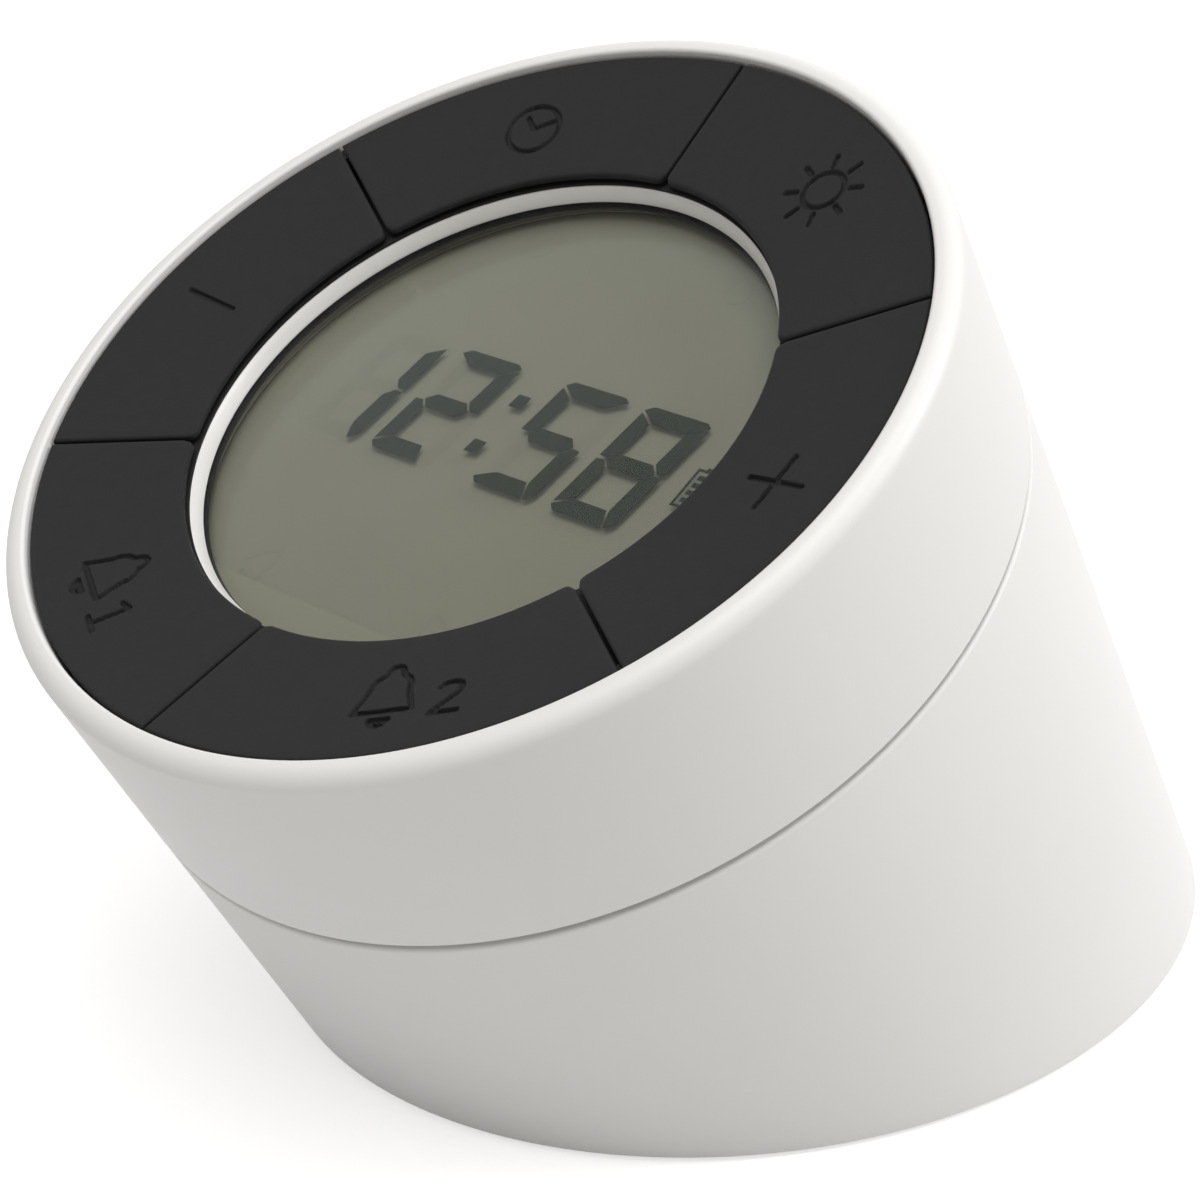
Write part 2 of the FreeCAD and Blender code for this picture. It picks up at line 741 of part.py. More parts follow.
def make_base_shell():
    body = new_body("base_shell")
    lowest = s.axis_length + s.body_radius * (math.tan(math.radians(s.tilt.value)) + 0.1)
    ring = revolved(body, [
        (spigot_outer, -s.spigot_depth),
        (spigot_outer, -base_top),
        (s.body_radius, -base_top),
        (s.body_radius, -lowest),
        (inner_radius, -lowest),
        (inner_radius, -web_under),
        (web_hole_radius, -web_under),
        (web_hole_radius, -s.web_depth),
        (spigot_inner, -s.web_depth),
        (spigot_inner, -s.spigot_depth),
    ])
    dressed(body, "Chamfer", ring, ring_edges(ring, s.body_radius, -base_top), s.groove_chamfer)
    holes = new_sketch(body, "web_holes", offset=at_depth(s.web_depth))
    for angle in HEAD_BOSS_ANGLES:
        draw_circle(holes, *polar(boss_ring_radius, angle), s.screw_hole_radius)
    for angle in PILLAR_ANGLES:
        draw_circle(holes, *polar(lamp_screw_ring, angle), s.screw_radius)
    carve(body, holes, s.web_thickness)
    rails = new_sketch(body, "rails", offset=at_depth(charger_top_depth + s.rail_inset))
    rail_x = s.charger_width / 2 - s.rail_inset - s.rail_thickness / 2
    half = s.rail_thickness / 2
    for side in (-1, 1):
        middle = rail_x * side
        draw_outline(rails, [
            (middle - half, charger_offset),
            (middle + half, charger_offset),
            (middle + half, inner_radius),
            (middle - half, inner_radius),
        ])
    grow(body, rails, s.charger_height - s.rail_inset * 2)
    back = Placement(Vector(0, 0, -charger_offset.value), Rotation())
    pilots = new_sketch(body, "rail_pilots", "XZ_Plane", back)
    for side in (-1, 1):
        draw_circle(pilots, rail_x * side, -charger_screw_depth, s.screw_radius)
    carve(body, pilots, s.charger_screw_bite)
    slot = new_sketch(body, "socket_slot", "XZ_Plane", back)
    across = s.socket_width / 2 + s.socket_clearance
    along = s.socket_thickness / 2 + s.socket_clearance
    draw_outline(slot, [
        (-across, -socket_depth - along),
        (across, -socket_depth - along),
        (across, -socket_depth + along),
        (-across, -socket_depth + along),
    ])
    carve(body, slot, s.body_radius - charger_offset + 1)
    foot = new_sketch(body, "foot_cut", offset=level(s.foot_rise.value))
    draw_circle(foot, 0, 0, s.body_radius * 2)
    carve(body, foot, s.body_radius * 2)
    bosses = new_sketch(body, "plate_bosses", offset=level(plate_top.value))
    pilots = new_sketch(body, "plate_pilots", offset=level(plate_top.value))
    webs = new_sketch(body, "boss_ribs", offset=level(plate_top.value))
    half = s.boss_rib / 2
    for x, y in base_boss_spots():
        draw_circle(bosses, x, y, s.base_boss_radius)
        draw_circle(pilots, x, y, s.screw_radius)
        reach = inner_radius * s.base_rib_share * (1 if y > 0 else -1)
        draw_outline(webs, [
            (as_size(x) - half, y),
            (as_size(x) + half, y),
            (as_size(x) + half, reach + y),
            (as_size(x) - half, reach + y),
        ])
    grow(body, bosses, s.base_boss_height, upward=True)
    grow(body, webs, s.base_rib_height, upward=True)
    carve(body, pilots, s.screw_bite, upward=True)
    keep(body, face)


# Lamp board under the web, with a ring of lamps that light the lower housing

def make_lamp():
    body = new_body("lamp_board")
    disc = new_sketch(body, "disc", offset=at_depth(web_under))
    draw_circle(disc, 0, 0, lamp_board_radius)
    grow(body, disc, s.board_thickness)
    holes = new_sketch(body, "holes", offset=at_depth(web_under))
    for angle in PILLAR_ANGLES:
        draw_circle(holes, *polar(lamp_screw_ring, angle), s.screw_hole_radius)
    carve(body, holes, s.board_thickness)
    keep(body, face)
    count = round(s.lamp_led_count.value)
    lamps = []
    for index in range(count):
        turn = Placement(Vector(), Rotation(Vector(0, 0, 1), (index + 0.5) * 360 / count))
        lamp_depth = lamp_board_under + s.lamp_led_height
        spot = Placement(Vector(lamp_led_ring.value, 0, -lamp_depth.value), Rotation())
        lamp = box(f"lamp_{index}", s.lamp_led_width, s.lamp_led_width, s.lamp_led_height, turn * spot)
        lamps.append(lamp)
    keep(group("lamp_leds", lamps), face)
    plug_under = lamp_board_under + s.cable_plug_height
    plug_place = face_point(0, cable_offset.value, plug_under.value)
    keep(box("lamp_cable_plug", s.cable_plug_width, s.cable_plug_depth, s.cable_plug_height, plug_place))
    cable_end = charger_top_depth + s.rail_inset
    cable_place = face_point(0, cable_offset.value, cable_end.value)
    keep(cylinder("charge_cable", s.cable_radius, cable_end - plug_under, cable_place))


# Charging board against the back wall, with its socket in the wall's slot

def make_charger():
    board_v = charger_offset - s.board_thickness / 2
    board_place = Placement(Vector(0, board_v.value, -charger_bottom_depth.value), Rotation())
    plain = box("charger_blank", s.charger_width, s.board_thickness, s.charger_height, board_place)
    rail_x = s.charger_width / 2 - s.rail_inset - s.rail_thickness / 2
    outward = Rotation(Vector(1, 0, 0), -90)
    holes = []
    screws = []
    for index, side in enumerate((-1, 1)):
        x = side * rail_x.value
        start = Vector(x, (charger_offset - s.board_thickness).value, -charger_screw_depth.value)
        hole_place = Placement(start, outward)
        holes.append(cylinder(f"charger_hole_{index}", s.screw_hole_radius, s.board_thickness, hole_place))
        length = s.board_thickness + s.charger_screw_bite - s.frame_clearance
        screws.append(screw(f"charger_screw_{index}", length, hole_place))
    keep(cut("charging_board", plain, joined("charger_holes", holes)), face)
    keep(group("charger_screws", screws), face)
    socket_length = s.body_radius - s.socket_recess - charger_offset
    socket_start = Placement(Vector(0, charger_offset.value, -socket_depth.value), outward)
    sleeve = box("socket_sleeve", s.socket_width, s.socket_thickness, socket_length, socket_start)
    pit_start = charger_offset + socket_length - s.socket_pit
    pit_place = Placement(Vector(0, pit_start.value, -socket_depth.value), outward)
    pit_width = s.socket_width - s.socket_shell * 2
    pit_thickness = s.socket_thickness - s.socket_shell * 2
    pit = box("socket_pit_space", pit_width, pit_thickness, s.socket_pit + 1, pit_place)
    keep(cut("charging_socket", sleeve, pit), face)
    inner_face = charger_offset - s.board_thickness
    plug_back = cable_offset - s.cable_plug_depth / 2
    plug_middle = (inner_face + plug_back) / 2
    plug_under = charger_top_depth + s.rail_inset + s.cable_plug_height
    plug_place = face_point(0, plug_middle.value, plug_under.value)
    keep(box("charger_plug", s.cable_plug_width, inner_face - plug_back, s.cable_plug_height, plug_place))


# Foot: oval base plate in the oblique opening, a rubber pad let into it, and the plate's screws

def oval_slab(name, radius, low, height):
    """A level slab with the outline that the leaning cylinder has there."""
    reach = s.body_radius.value * 2
    rod_place = Placement(lean.multVec(Vector(0, 0, -reach)), lean)
    rod = cylinder(f"{name}_rod", radius, s.body_radius * 4, rod_place)
    slab_place = Placement(Vector(0, 0, low), Rotation())
    slab = box(f"{name}_slab", s.body_radius * 4, s.body_radius * 4, height, slab_place)
    oval = doc.addObject("Part::Common", name)
    oval.Base = rod
    oval.Tool = slab
    return oval


def make_base_plate():
    plate_radius = inner_radius - s.plate_gap
    pad_radius = plate_radius - s.foot_margin
    pad_height = s.foot_rise + s.foot_inset
    plate = oval_slab("plate_oval", plate_radius, s.foot_rise.value, s.plate_thickness)
    cuts = [oval_slab("pad_seat", pad_radius + s.foot_gap, 0, pad_height)]
    screws = []
    seat = pad_height + s.screw_head_height
    for index, (x, y) in enumerate(base_boss_spots()):
        below = Placement(Vector(x, y, 0), Rotation())
        cuts.append(cylinder(f"plate_hole_{index}", s.screw_hole_radius, plate_top + 1, below))
        sink_radius = s.screw_head_radius + s.pin_clearance
        cuts.append(cylinder(f"plate_sink_{index}", sink_radius, seat, below))
        length = plate_top - seat + s.screw_bite - s.frame_clearance
        place = Placement(Vector(x, y, seat.value), Rotation())
        screws.append(screw(f"base_screw_{index}", length, place))
    keep(cut("base_plate", plate, joined("plate_cuts", cuts)))
    keep(group("base_screws", screws))
    keep(oval_slab("foot_pad", pad_radius, 0, pad_height))


# Battery: a cell lying across the plate in its cradle, with a contact at each end

def make_battery():
    sideways = Rotation(Vector(0, 1, 0), 90)
    axis_height = plate_top + s.cradle_floor + s.cell_radius
    trough_length = s.cell_length + s.contact_thickness * 2
    y = s.cell_offset.value
    block_length = trough_length + s.cradle_end * 2
    block_place = Placement(Vector(0, y, plate_top.value), Rotation())
    block = box("cradle_block", block_length, s.cradle_width, s.cradle_height, block_place)
    trough_start = Vector(-trough_length.value / 2, y, axis_height.value)
    trough_radius = s.cell_radius + s.cell_clearance
    trough = cylinder("cradle_trough", trough_radius, trough_length, Placement(trough_start, sideways))
    keep(cut("battery_cradle", block, trough))
    cell_start = Vector(-s.cell_length.value / 2, y, axis_height.value)
    keep(cylinder("battery_cell", s.cell_radius, s.cell_length, Placement(cell_start, sideways)))
    contacts = []
    for index, x in enumerate((-trough_length.value / 2, s.cell_length.value / 2)):
        place = Placement(Vector(x, y, axis_height.value), sideways)
        contacts.append(cylinder(f"contact_{index}", s.contact_radius, s.contact_thickness, place))
    keep(group("battery_contacts", contacts))


make_head_shell()
make_key_frame()
for key_name, key_angle in KEY_NAMES.items():
    make_key(key_name, key_angle)
make_switches()
make_display_bezel()
make_display()
make_main_board()
make_head_screws()
make_base_shell()
make_lamp()
make_charger()
make_base_plate()
make_battery()

doc.recompute()
for item in doc.Objects:
    if "Invalid" in item.State or "Error" in item.State:
        fail(f"{item.Name} did not build")
os.makedirs("parts", exist_ok=True)
for piece in pieces:
    shape = piece.Shape
    if shape.isNull() or not shape.isValid():
        fail(f"{piece.Label} has no valid shape")
    shape.exportStep(f"parts/{piece.Label}.step")
    print(f"{piece.Label}: {len(shape.Solids)} solids, {shape.Volume:.0f} mm3")
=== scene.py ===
# %% [markdown]
# # A bedside alarm clock with a leaning face
#
# The clock is a white cylinder that is cut off obliquely at its foot, so that its round face
# leans back towards the sleeper. Six charcoal rubber keys make a dished ring round a
# reflective display. The measured solids come from the frame file. The cells below dress
# them: they rebuild the pieces that show with finer edges, and give every piece a finish.

from math import asin, atan2, ceil, cos, hypot, pi, radians, sin, tan

import bmesh
import bpy
import numpy as np
from mathutils import Matrix, Vector


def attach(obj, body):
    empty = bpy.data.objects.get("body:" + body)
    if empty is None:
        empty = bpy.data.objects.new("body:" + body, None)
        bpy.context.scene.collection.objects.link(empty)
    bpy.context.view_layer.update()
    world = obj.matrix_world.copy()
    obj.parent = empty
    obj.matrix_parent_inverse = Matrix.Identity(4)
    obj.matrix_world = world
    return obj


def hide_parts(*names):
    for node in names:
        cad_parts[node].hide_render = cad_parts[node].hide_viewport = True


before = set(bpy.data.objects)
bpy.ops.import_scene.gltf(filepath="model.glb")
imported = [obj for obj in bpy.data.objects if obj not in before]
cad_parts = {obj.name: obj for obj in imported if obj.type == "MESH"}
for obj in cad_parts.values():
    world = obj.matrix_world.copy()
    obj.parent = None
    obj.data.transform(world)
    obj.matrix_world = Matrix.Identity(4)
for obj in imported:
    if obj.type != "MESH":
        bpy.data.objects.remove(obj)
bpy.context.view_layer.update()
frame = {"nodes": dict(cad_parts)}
nodes = frame["nodes"]
print("solids in the frame:", len(nodes))

# %% [markdown]
# ## Two frames of reference
#
# The clock stands on the table, but nearly all of its pieces are square to the leaning face.
# It is easier to think in the face's own frame: x to the right, v up across the face, and
# the height above the key ring's outer edge, all in millimetres. One matrix takes such
# points to the table's frame, so the finished meshes need no turned or moved objects.

# %% Millimetres and the face frame
MM = 0.001
TILT = radians(29.0)
AXIS_LENGTH = 82.3
BODY_RADIUS = 47.5
INNER_RADIUS = 45.0
WEB_UNDER, WEB_TOP = -28.0, -26.0
FACE_CENTRE = Vector((0.0, -AXIS_LENGTH * sin(TILT), AXIS_LENGTH * cos(TILT)))
FACE = Matrix.Translation(FACE_CENTRE) @ Matrix.Rotation(TILT, 4, "X")
TABLE = Matrix.Identity(4)
print("middle of the face, in mm:", [round(c, 2) for c in FACE_CENTRE])

# %% [markdown]
# ## From points to pieces
#
# Every piece here is a closed form made from a list of points and faces. A helper writes the
# mesh in metres, turns its faces outwards and shades it smooth apart from real edges.
# Another gives the piece its finish, the body that it moves with and the solid it stands for.
# The finish is its slot's own, unless another is named.

# %% Helpers that make and settle a piece
def mesh_piece(name, points, faces, place=FACE):
    mesh = bpy.data.meshes.new(name)
    mesh.from_pydata([tuple(MM * (place @ Vector(p))) for p in points], [], faces)
    form = bmesh.new()
    form.from_mesh(mesh)
    bmesh.ops.recalc_face_normals(form, faces=form.faces)
    form.to_mesh(mesh)
    form.free()
    piece = bpy.data.objects.new(name, mesh)
    bpy.context.scene.collection.objects.link(piece)
    return piece


def shade(piece, angle=30):
    piece.data.shade_smooth()
    piece.data.set_sharp_from_angle(angle=radians(angle))


def settle(piece, body, slot, stands_for=(), finish=None):
    piece.data.materials.clear()
    piece.data.materials.append(finish or FINISHES[slot])
    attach(piece, body)
    if stands_for:
        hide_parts(*stands_for)
    print(f"{piece.name}: {len(piece.data.polygons)} faces, stands for {list(stands_for)}")


# %% [markdown]
# ## Shader arithmetic
#
# A finish is easier to read as a sum than as a drawing of nodes. The small class below wraps
# a socket, and its operators add Math nodes. Colours go through Mix nodes instead, because
# a Math node would turn them grey. Finishes, the room and the growing trees further on all
# get their nodes from the same method.

# %% A value that can be reckoned with, and the one method that makes nodes
class Value:
    def __init__(self, maker, socket):
        self.maker = maker
        self.socket = socket

    def maths(self, operation, first, second):
        return self.maker.node("ShaderNodeMath", {"operation": operation}, {0: first, 1: second})

    def __add__(self, other):
        return self.maths("ADD", self, other)

    def __radd__(self, other):
        return self.maths("ADD", other, self)

    def __mul__(self, other):
        return self.maths("MULTIPLY", self, other)

    def __rmul__(self, other):
        return self.maths("MULTIPLY", other, self)

    def __pow__(self, other):
        return self.maths("POWER", self, other)

    def above(self, edge):
        return self.maths("GREATER_THAN", self, edge)


class Nodes:
    def __init__(self, tree):
        self.tree = tree

    def node(self, kind, settings=None, inputs=None, output=0):
        item = self.tree.nodes.new(kind)
        for name, value in (settings or {}).items():
            setattr(item, name, value)
        for name, value in (inputs or {}).items():
            self.feed(item.inputs[name], value)
        return Value(self, item.outputs[output])

    def feed(self, socket, value):
        """Links a value, or each value of a list, and sets anything else as it is."""
        if isinstance(value, list):
            for item in value:
                self.feed(socket, item)
        elif isinstance(value, Value):
            self.tree.links.new(value.socket, socket)
        else:
            socket.default_value = value


# %% A finish and its textures
class Finish(Nodes):
    def __init__(self, name, constants):
        self.material = bpy.data.materials.new(name)
        self.material.use_nodes = True
        super().__init__(self.material.node_tree)
        self.surface = self.tree.nodes["Principled BSDF"]
        self.give(constants)

    def give(self, inputs):
        for name, value in inputs.items():
            if isinstance(value, tuple) and len(value) == 3 and "Color" in name:
                value = (*value, 1.0)
            self.feed(self.surface.inputs[name], value)

    def place(self, turn=(0, 0, 0)):
        spot = self.node("ShaderNodeTexCoord", output="Object")
        return self.node("ShaderNodeMapping", {"vector_type": "TEXTURE"},
                         {"Vector": spot, "Rotation": turn})

    def noise(self, spot, size_mm, detail=2.0, roughness=0.5):
        return self.node("ShaderNodeTexNoise", None, {
            "Vector": spot, "Scale": 1000.0 / size_mm, "Detail": detail, "Roughness": roughness})

    def cells(self, spot, size_mm):
        return self.node("ShaderNodeTexVoronoi", {"feature": "F1"}, {
            "Vector": spot, "Scale": 1000.0 / size_mm})

    def blend(self, first, second, share):
        first = (*first, 1.0) if isinstance(first, tuple) else first
        second = (*second, 1.0) if isinstance(second, tuple) else second
        return self.node("ShaderNodeMix", {"data_type": "RGBA"}, {0: share, 6: first, 7: second}, 2)

    def relief(self, height, depth_mm):
        return self.node("ShaderNodeBump", None, {"Height": height, "Distance": depth_mm * MM})


# %% [markdown]
# ## Finishes
#
# Moulded plastic is never one flat colour. The steel of the mould is spark-eroded, which
# leaves a grain of about a tenth of a millimetre, the colour drifts a little where the
# melt flowed, and skin oil makes the gloss vary. One recipe gives all moulded pieces these.

# %% Moulded plastic
def moulded(name, colour, roughness, grain_mm=0.12, depth_mm=0.004, drift=0.02):
    finish = Finish(name, {"IOR": 1.49})
    spot = finish.place()
    flow = finish.noise(spot, 18.0, 3.0)
    grain = finish.noise(spot, grain_mm, 1.0)
    darker = tuple(c * (1 - 2 * drift) for c in colour)
    finish.give({
        "Base Color": finish.blend(darker, colour, flow * 0.8 + grain * 0.4),
        "Roughness": finish.noise(spot, 3.0, 3.0) * 0.10 + (roughness - 0.05),
        "Normal": finish.relief(grain, depth_mm),
    })
    return finish.material


FINISHES = {
    "head_white": moulded("satin_white_head", (0.84, 0.835, 0.825), 0.44),
    "base_white": moulded("satin_white_base", (0.84, 0.838, 0.828), 0.46),
    "bezel_white": moulded("smooth_white_wall", (0.84, 0.83, 0.82), 0.30, 0.3, 0.002),
    "plate_white": moulded("grained_white_plate", (0.78, 0.775, 0.76), 0.6, 0.25, 0.02, 0.03),
    "holder_white": moulded("white_holder_plastic", (0.7, 0.7, 0.68), 0.5),
    "plug_white": moulded("milky_plug_nylon", (0.72, 0.69, 0.6), 0.4, 0.2, 0.006, 0.05),
    "dark_plastic": moulded("black_frame_plastic", (0.016, 0.016, 0.017), 0.5, 0.2, 0.01, 0.1),
    "plunger_plastic": moulded("grey_plunger_plastic", (0.35, 0.35, 0.36), 0.4, 0.2, 0.005, 0.05),
    "chip_black": moulded("black_chip_resin", (0.02, 0.02, 0.022), 0.7, 0.1, 0.01, 0.15),
    "cable_cover": moulded("grey_cable_cover", (0.12, 0.12, 0.125), 0.45, 0.8, 0.02, 0.1),
    "lamp_white": moulded("pale_lamp_body", (0.82, 0.80, 0.70), 0.35, 0.3, 0.004, 0.04),
}
print("moulded finishes:", len(FINISHES))

# %% [markdown]
# The keys are soft-touch rubber: charcoal, nearly matt, with a fine grain and faint
# lighter specks, and a thin bloom that shows at a glancing angle. The pad under the foot
# is a plainer, greyer rubber with a coarse non-slip texture.

# %% Rubbers
def rubber(name, dark, light, roughness, grain_mm, depth_mm, sheen):
    finish = Finish(name, {"IOR": 1.45, "Sheen Weight": sheen, "Sheen Roughness": 0.45,
                           "Specular IOR Level": 0.12})
    spot = finish.place()
    mottle = finish.noise(spot, 1.6, 4.0, 0.6)
    grain = finish.noise(spot, grain_mm, 2.0, 0.7)
    specks = finish.cells(spot, grain_mm * 2.2)
    finish.give({
        "Base Color": finish.blend(dark, light, mottle * 0.5 + grain * 0.5),
        "Roughness": grain * 0.16 + (roughness - 0.08),
        "Normal": finish.relief(grain + specks * 0.4, depth_mm),
    })
    return finish.material


FINISHES["key_rubber"] = rubber("charcoal_key_rubber", (0.0155, 0.0158, 0.0164),
                                (0.0245, 0.0249, 0.0257), 0.6, 0.14, 0.012, 0.02)
FINISHES["pad_rubber"] = rubber("grey_pad_rubber", (0.10, 0.10, 0.10),
                                (0.16, 0.16, 0.155), 0.75, 0.5, 0.05, 0.1)
strip = Finish("zebra_strip_rubber", {"Roughness": 0.6})
stripes = strip.node("ShaderNodeTexWave", {"wave_type": "BANDS", "bands_direction": "X"},
                     {"Vector": strip.place(), "Scale": 1600.0, "Distortion": 0.3})
strip.give({"Base Color": strip.blend((0.02, 0.02, 0.02), (0.45, 0.4, 0.42), stripes.above(0.5)),
            "Normal": strip.relief(stripes, 0.01)})
FINISHES["strip_rubber"] = strip.material
print("with rubbers:", len(FINISHES))

# %% [markdown]
# The display reads by daylight: light passes the glass, bounces off a finely brushed grey
# film and comes back, except where a segment has gone dark. The glass plates and the
# window are drawn as thin mirrors that are nearly clear, and clearer still face on, by
# Schlick's rule. They let the lamps through unhindered, as real glass nearly does.

# %% Display film, segments and clear panes
def film(name, colour, relief_mm, gloss=0.25):
    finish = Finish(name, {"Specular IOR Level": gloss})
    spot = finish.place(turn=(TILT, 0, 0))
    brushed = finish.node("ShaderNodeMapping", None, {"Vector": spot, "Scale": (1.0, 6.0, 1.0)})
    fine = finish.noise(brushed, 0.5, 3.0, 0.6)
    cloud = finish.noise(spot, 30.0, 2.0)
    paler = tuple(min(1.0, c * 1.05) for c in colour)
    darker = tuple(c * 0.95 for c in colour)
    finish.give({"Base Color": finish.blend(darker, paler, cloud * 0.7 + fine * 0.3),
                 "Roughness": fine * 0.15 + 0.5,
                 "Normal": finish.relief(fine, relief_mm)})
    return finish.material


def pane(name, tint, least, rough):
    finish = Finish(name, {"Base Color": tint, "Metallic": 1.0, "Roughness": rough})
    facing = finish.node("ShaderNodeLayerWeight", None, {"Blend": 0.5}, "Facing")
    smear = finish.noise(finish.place(), 9.0, 3.0)
    finish.give({"Alpha": facing ** 5.0 * 0.9 + (smear * 0.004 + least),
                 "Roughness": smear * 0.06 + rough})
    return finish.material


FILM_GREY = (0.178, 0.182, 0.128)
FINISHES["display_film"] = film("brushed_display_film", FILM_GREY, 0.003)
# Faintly darker film for resting segments, also used for the painted reflections of the sun and
# dial keys' signs.
resting_and_reflection_ink = film("resting_segment_film", tuple(c * 0.93 for c in FILM_GREY), 0.003)
segment_ink = film("dark_segment_crystal", (0.005, 0.011, 0.003), 0.001, 0.1)
border_ink = moulded("black_border_ink", (0.006, 0.006, 0.006), 0.6, 0.2, 0.002, 0.1)
FINISHES["clear_window"] = pane("clear_window", (0.95, 0.97, 1.0), 0.006, 0.22)
FINISHES["display_glass"] = pane("display_glass", (0.95, 1.0, 0.97), 0.002, 0.10)
guide = Finish("frosted_light_guide", {"Roughness": 0.25, "IOR": 1.49})
dots = guide.cells(guide.place(), 1.1)
guide.give({"Base Color": guide.blend((0.88, 0.9, 0.92), (0.62, 0.66, 0.7), dots),
            "Normal": guide.relief(dots, 0.02)})
FINISHES["clear_guide"] = guide.material
print("film reflects", FILM_GREY)

# %% [markdown]
# Inside are circuit boards, metal and paper-thin wrap. A board's green lacquer shows its
# copper tracks as slightly raised lines. Turned steel has fine rings, and the cell's wrap
# is shrunk on with small wrinkles.

# %% Boards, metals and the cell's wrap
def board_lacquer():
    finish = Finish("green_board_lacquer",
                    {"IOR": 1.5, "Coat Weight": 0.3, "Coat Roughness": 0.15})
    spot = finish.place(turn=(TILT, 0, 0))
    tracks = finish.node("ShaderNodeTexBrick", {"offset": 0.5, "squash": 0.7}, {
        "Vector": spot, "Scale": 200.0, "Mortar Size": 0.035, "Mortar Smooth": 0.3,
        "Brick Width": 0.9, "Row Height": 0.22}, "Fac")
    weave = finish.noise(spot, 0.6, 2.0)
    finish.give({"Base Color": finish.blend((0.012, 0.085, 0.035), (0.03, 0.16, 0.07),
                                            tracks * 0.7 + weave * 0.3),
                 "Roughness": weave * 0.1 + 0.32,
                 "Normal": finish.relief(tracks + weave * 0.2, 0.03)})
    return finish.material


def metal(name, colour, roughness, ring_mm, depth_mm):
    finish = Finish(name, {"Metallic": 1.0})
    spot = finish.place(turn=(TILT, 0, 0))
    scratch = finish.noise(finish.node("ShaderNodeMapping", None, {
        "Vector": spot, "Scale": (1.0, 1.0, 9.0)}), ring_mm, 3.0, 0.6)
    wear = finish.noise(spot, 2.0, 3.0)
    dull = tuple(c * 0.8 for c in colour)
    finish.give({"Base Color": finish.blend(dull, colour, wear),
                 "Roughness": scratch * 0.2 + (roughness - 0.1),
                 "Normal": finish.relief(scratch, depth_mm)})
    return finish.material


def shrunk_wrap():
    finish = Finish("teal_cell_wrap", {"IOR": 1.5})
    spot = finish.place()
    folds = finish.noise(finish.node("ShaderNodeMapping", None, {
        "Vector": spot, "Scale": (1.0, 5.0, 5.0)}), 9.0, 3.0)
    finish.give({"Base Color": finish.blend((0.01, 0.15, 0.17), (0.02, 0.24, 0.26), folds),
                 "Roughness": folds * 0.15 + 0.22,
                 "Normal": finish.relief(folds, 0.08)})
    return finish.material


FINISHES["circuit_board"] = board_lacquer()
FINISHES["cell_wrap"] = shrunk_wrap()
FINISHES["screw_steel"] = metal("zinc_screw_steel", (0.72, 0.72, 0.70), 0.38, 0.3, 0.01)
FINISHES["can_steel"] = metal("drawn_can_steel", (0.78, 0.77, 0.74), 0.3, 0.5, 0.01)
FINISHES["contact_metal"] = metal("nickel_contact_metal", (0.83, 0.78, 0.62), 0.28, 0.25, 0.006)
print("with boards and metals:", len(FINISHES))

# %% Every solid gets the finish of its slot
for node in nodes.values():
    for slot in node.material_slots:
        slot.material = FINISHES[slot.material.name.split(".")[0]]
print("finished solids:", len(nodes))

# %% [markdown]
# ## Turned forms
#
# Both housings and the wall round the display are rings with a section. A section is a
# short list of corners, each with the radius that eases it. The helper swaps such a
# corner for an arc, and the next one turns the section about the axis. The lower
# housing's foot is cut obliquely, so its section is worked out anew for each angle.

# %% Sections and turning
def eased(corners, per_arc=6):
    points = []
    for index, (radius, height, ease) in enumerate(corners):
        here = Vector((radius, height))
        back = (Vector(corners[index - 1][:2]) - here).normalized()
        onward = (Vector(corners[(index + 1) % len(corners)][:2]) - here).normalized()
        if ease == 0:
            points.append(tuple(here))
            continue
        half = back.angle(onward) / 2
        centre = here + (back + onward).normalized() * (ease / sin(half))
        start = here + back * (ease / tan(half)) - centre
        end = here + onward * (ease / tan(half)) - centre
        first = atan2(start.y, start.x)
        sweep = (atan2(end.y, end.x) - first + pi) % (2 * pi) - pi
        for step in range(per_arc + 1):
            turn = first + sweep * step / per_arc
            points.append((centre.x + ease * cos(turn), centre.y + ease * sin(turn)))
    return points


def turned(section_at, steps=288):
    points = []
    for step in range(steps):
        angle = 2 * pi * step / steps
        points += [(r * cos(angle), r * sin(angle), h) for r, h in section_at(angle)]
    count = len(points) // steps
    faces = []
    for step in range(steps):
        this, following = step * count, (step + 1) % steps * count
        for item in range(count):
            after = (item + 1) % count
            faces.append((this + item, following + item, following + after, this + after))
    return points, faces


# %% Rods, bars and exact Booleans
def rod(x, y, radius, low, high, steps=32):
    circle = [(x + radius * cos(2 * pi * i / steps), y + radius * sin(2 * pi * i / steps))
              for i in range(steps)]
    return prism(circle, low, high)


def block(left, low, right, high):
    return [(left, low), (right, low), (right, high), (left, high)]


def bar(x, y, width, depth, low, high):
    corners = block(x - width / 2, y - depth / 2, x + width / 2, y + depth / 2)
    return prism(corners, low, high)


def prism(outline, low, high):
    count = len(outline)
    points = [(x, y, low) for x, y in outline] + [(x, y, high) for x, y in outline]
    faces = [tuple(range(count)), tuple(range(count, 2 * count))]
    faces += [(i, (i + 1) % count, (i + 1) % count + count, i + count) for i in range(count)]
    return points, faces


def gathered(forms):
    points, faces = [], []
    for form_points, form_faces in forms:
        start = len(points)
        points += form_points
        faces += [tuple(start + i for i in face) for face in form_faces]
    return points, faces


def combine(piece, forms, operation, place=FACE):
    tool = mesh_piece("tool", *gathered(forms), place)
    change = piece.modifiers.new("combine", "BOOLEAN")
    change.operation = operation
    change.solver = "EXACT"
    change.object = tool
    graph = bpy.context.evaluated_depsgraph_get()
    result = bpy.data.meshes.new_from_object(piece.evaluated_get(graph))
    piece.modifiers.clear()
    piece.data = result
    bpy.data.objects.remove(tool)


def around(ring, angle):
    return ring * cos(radians(angle)), ring * sin(radians(angle))


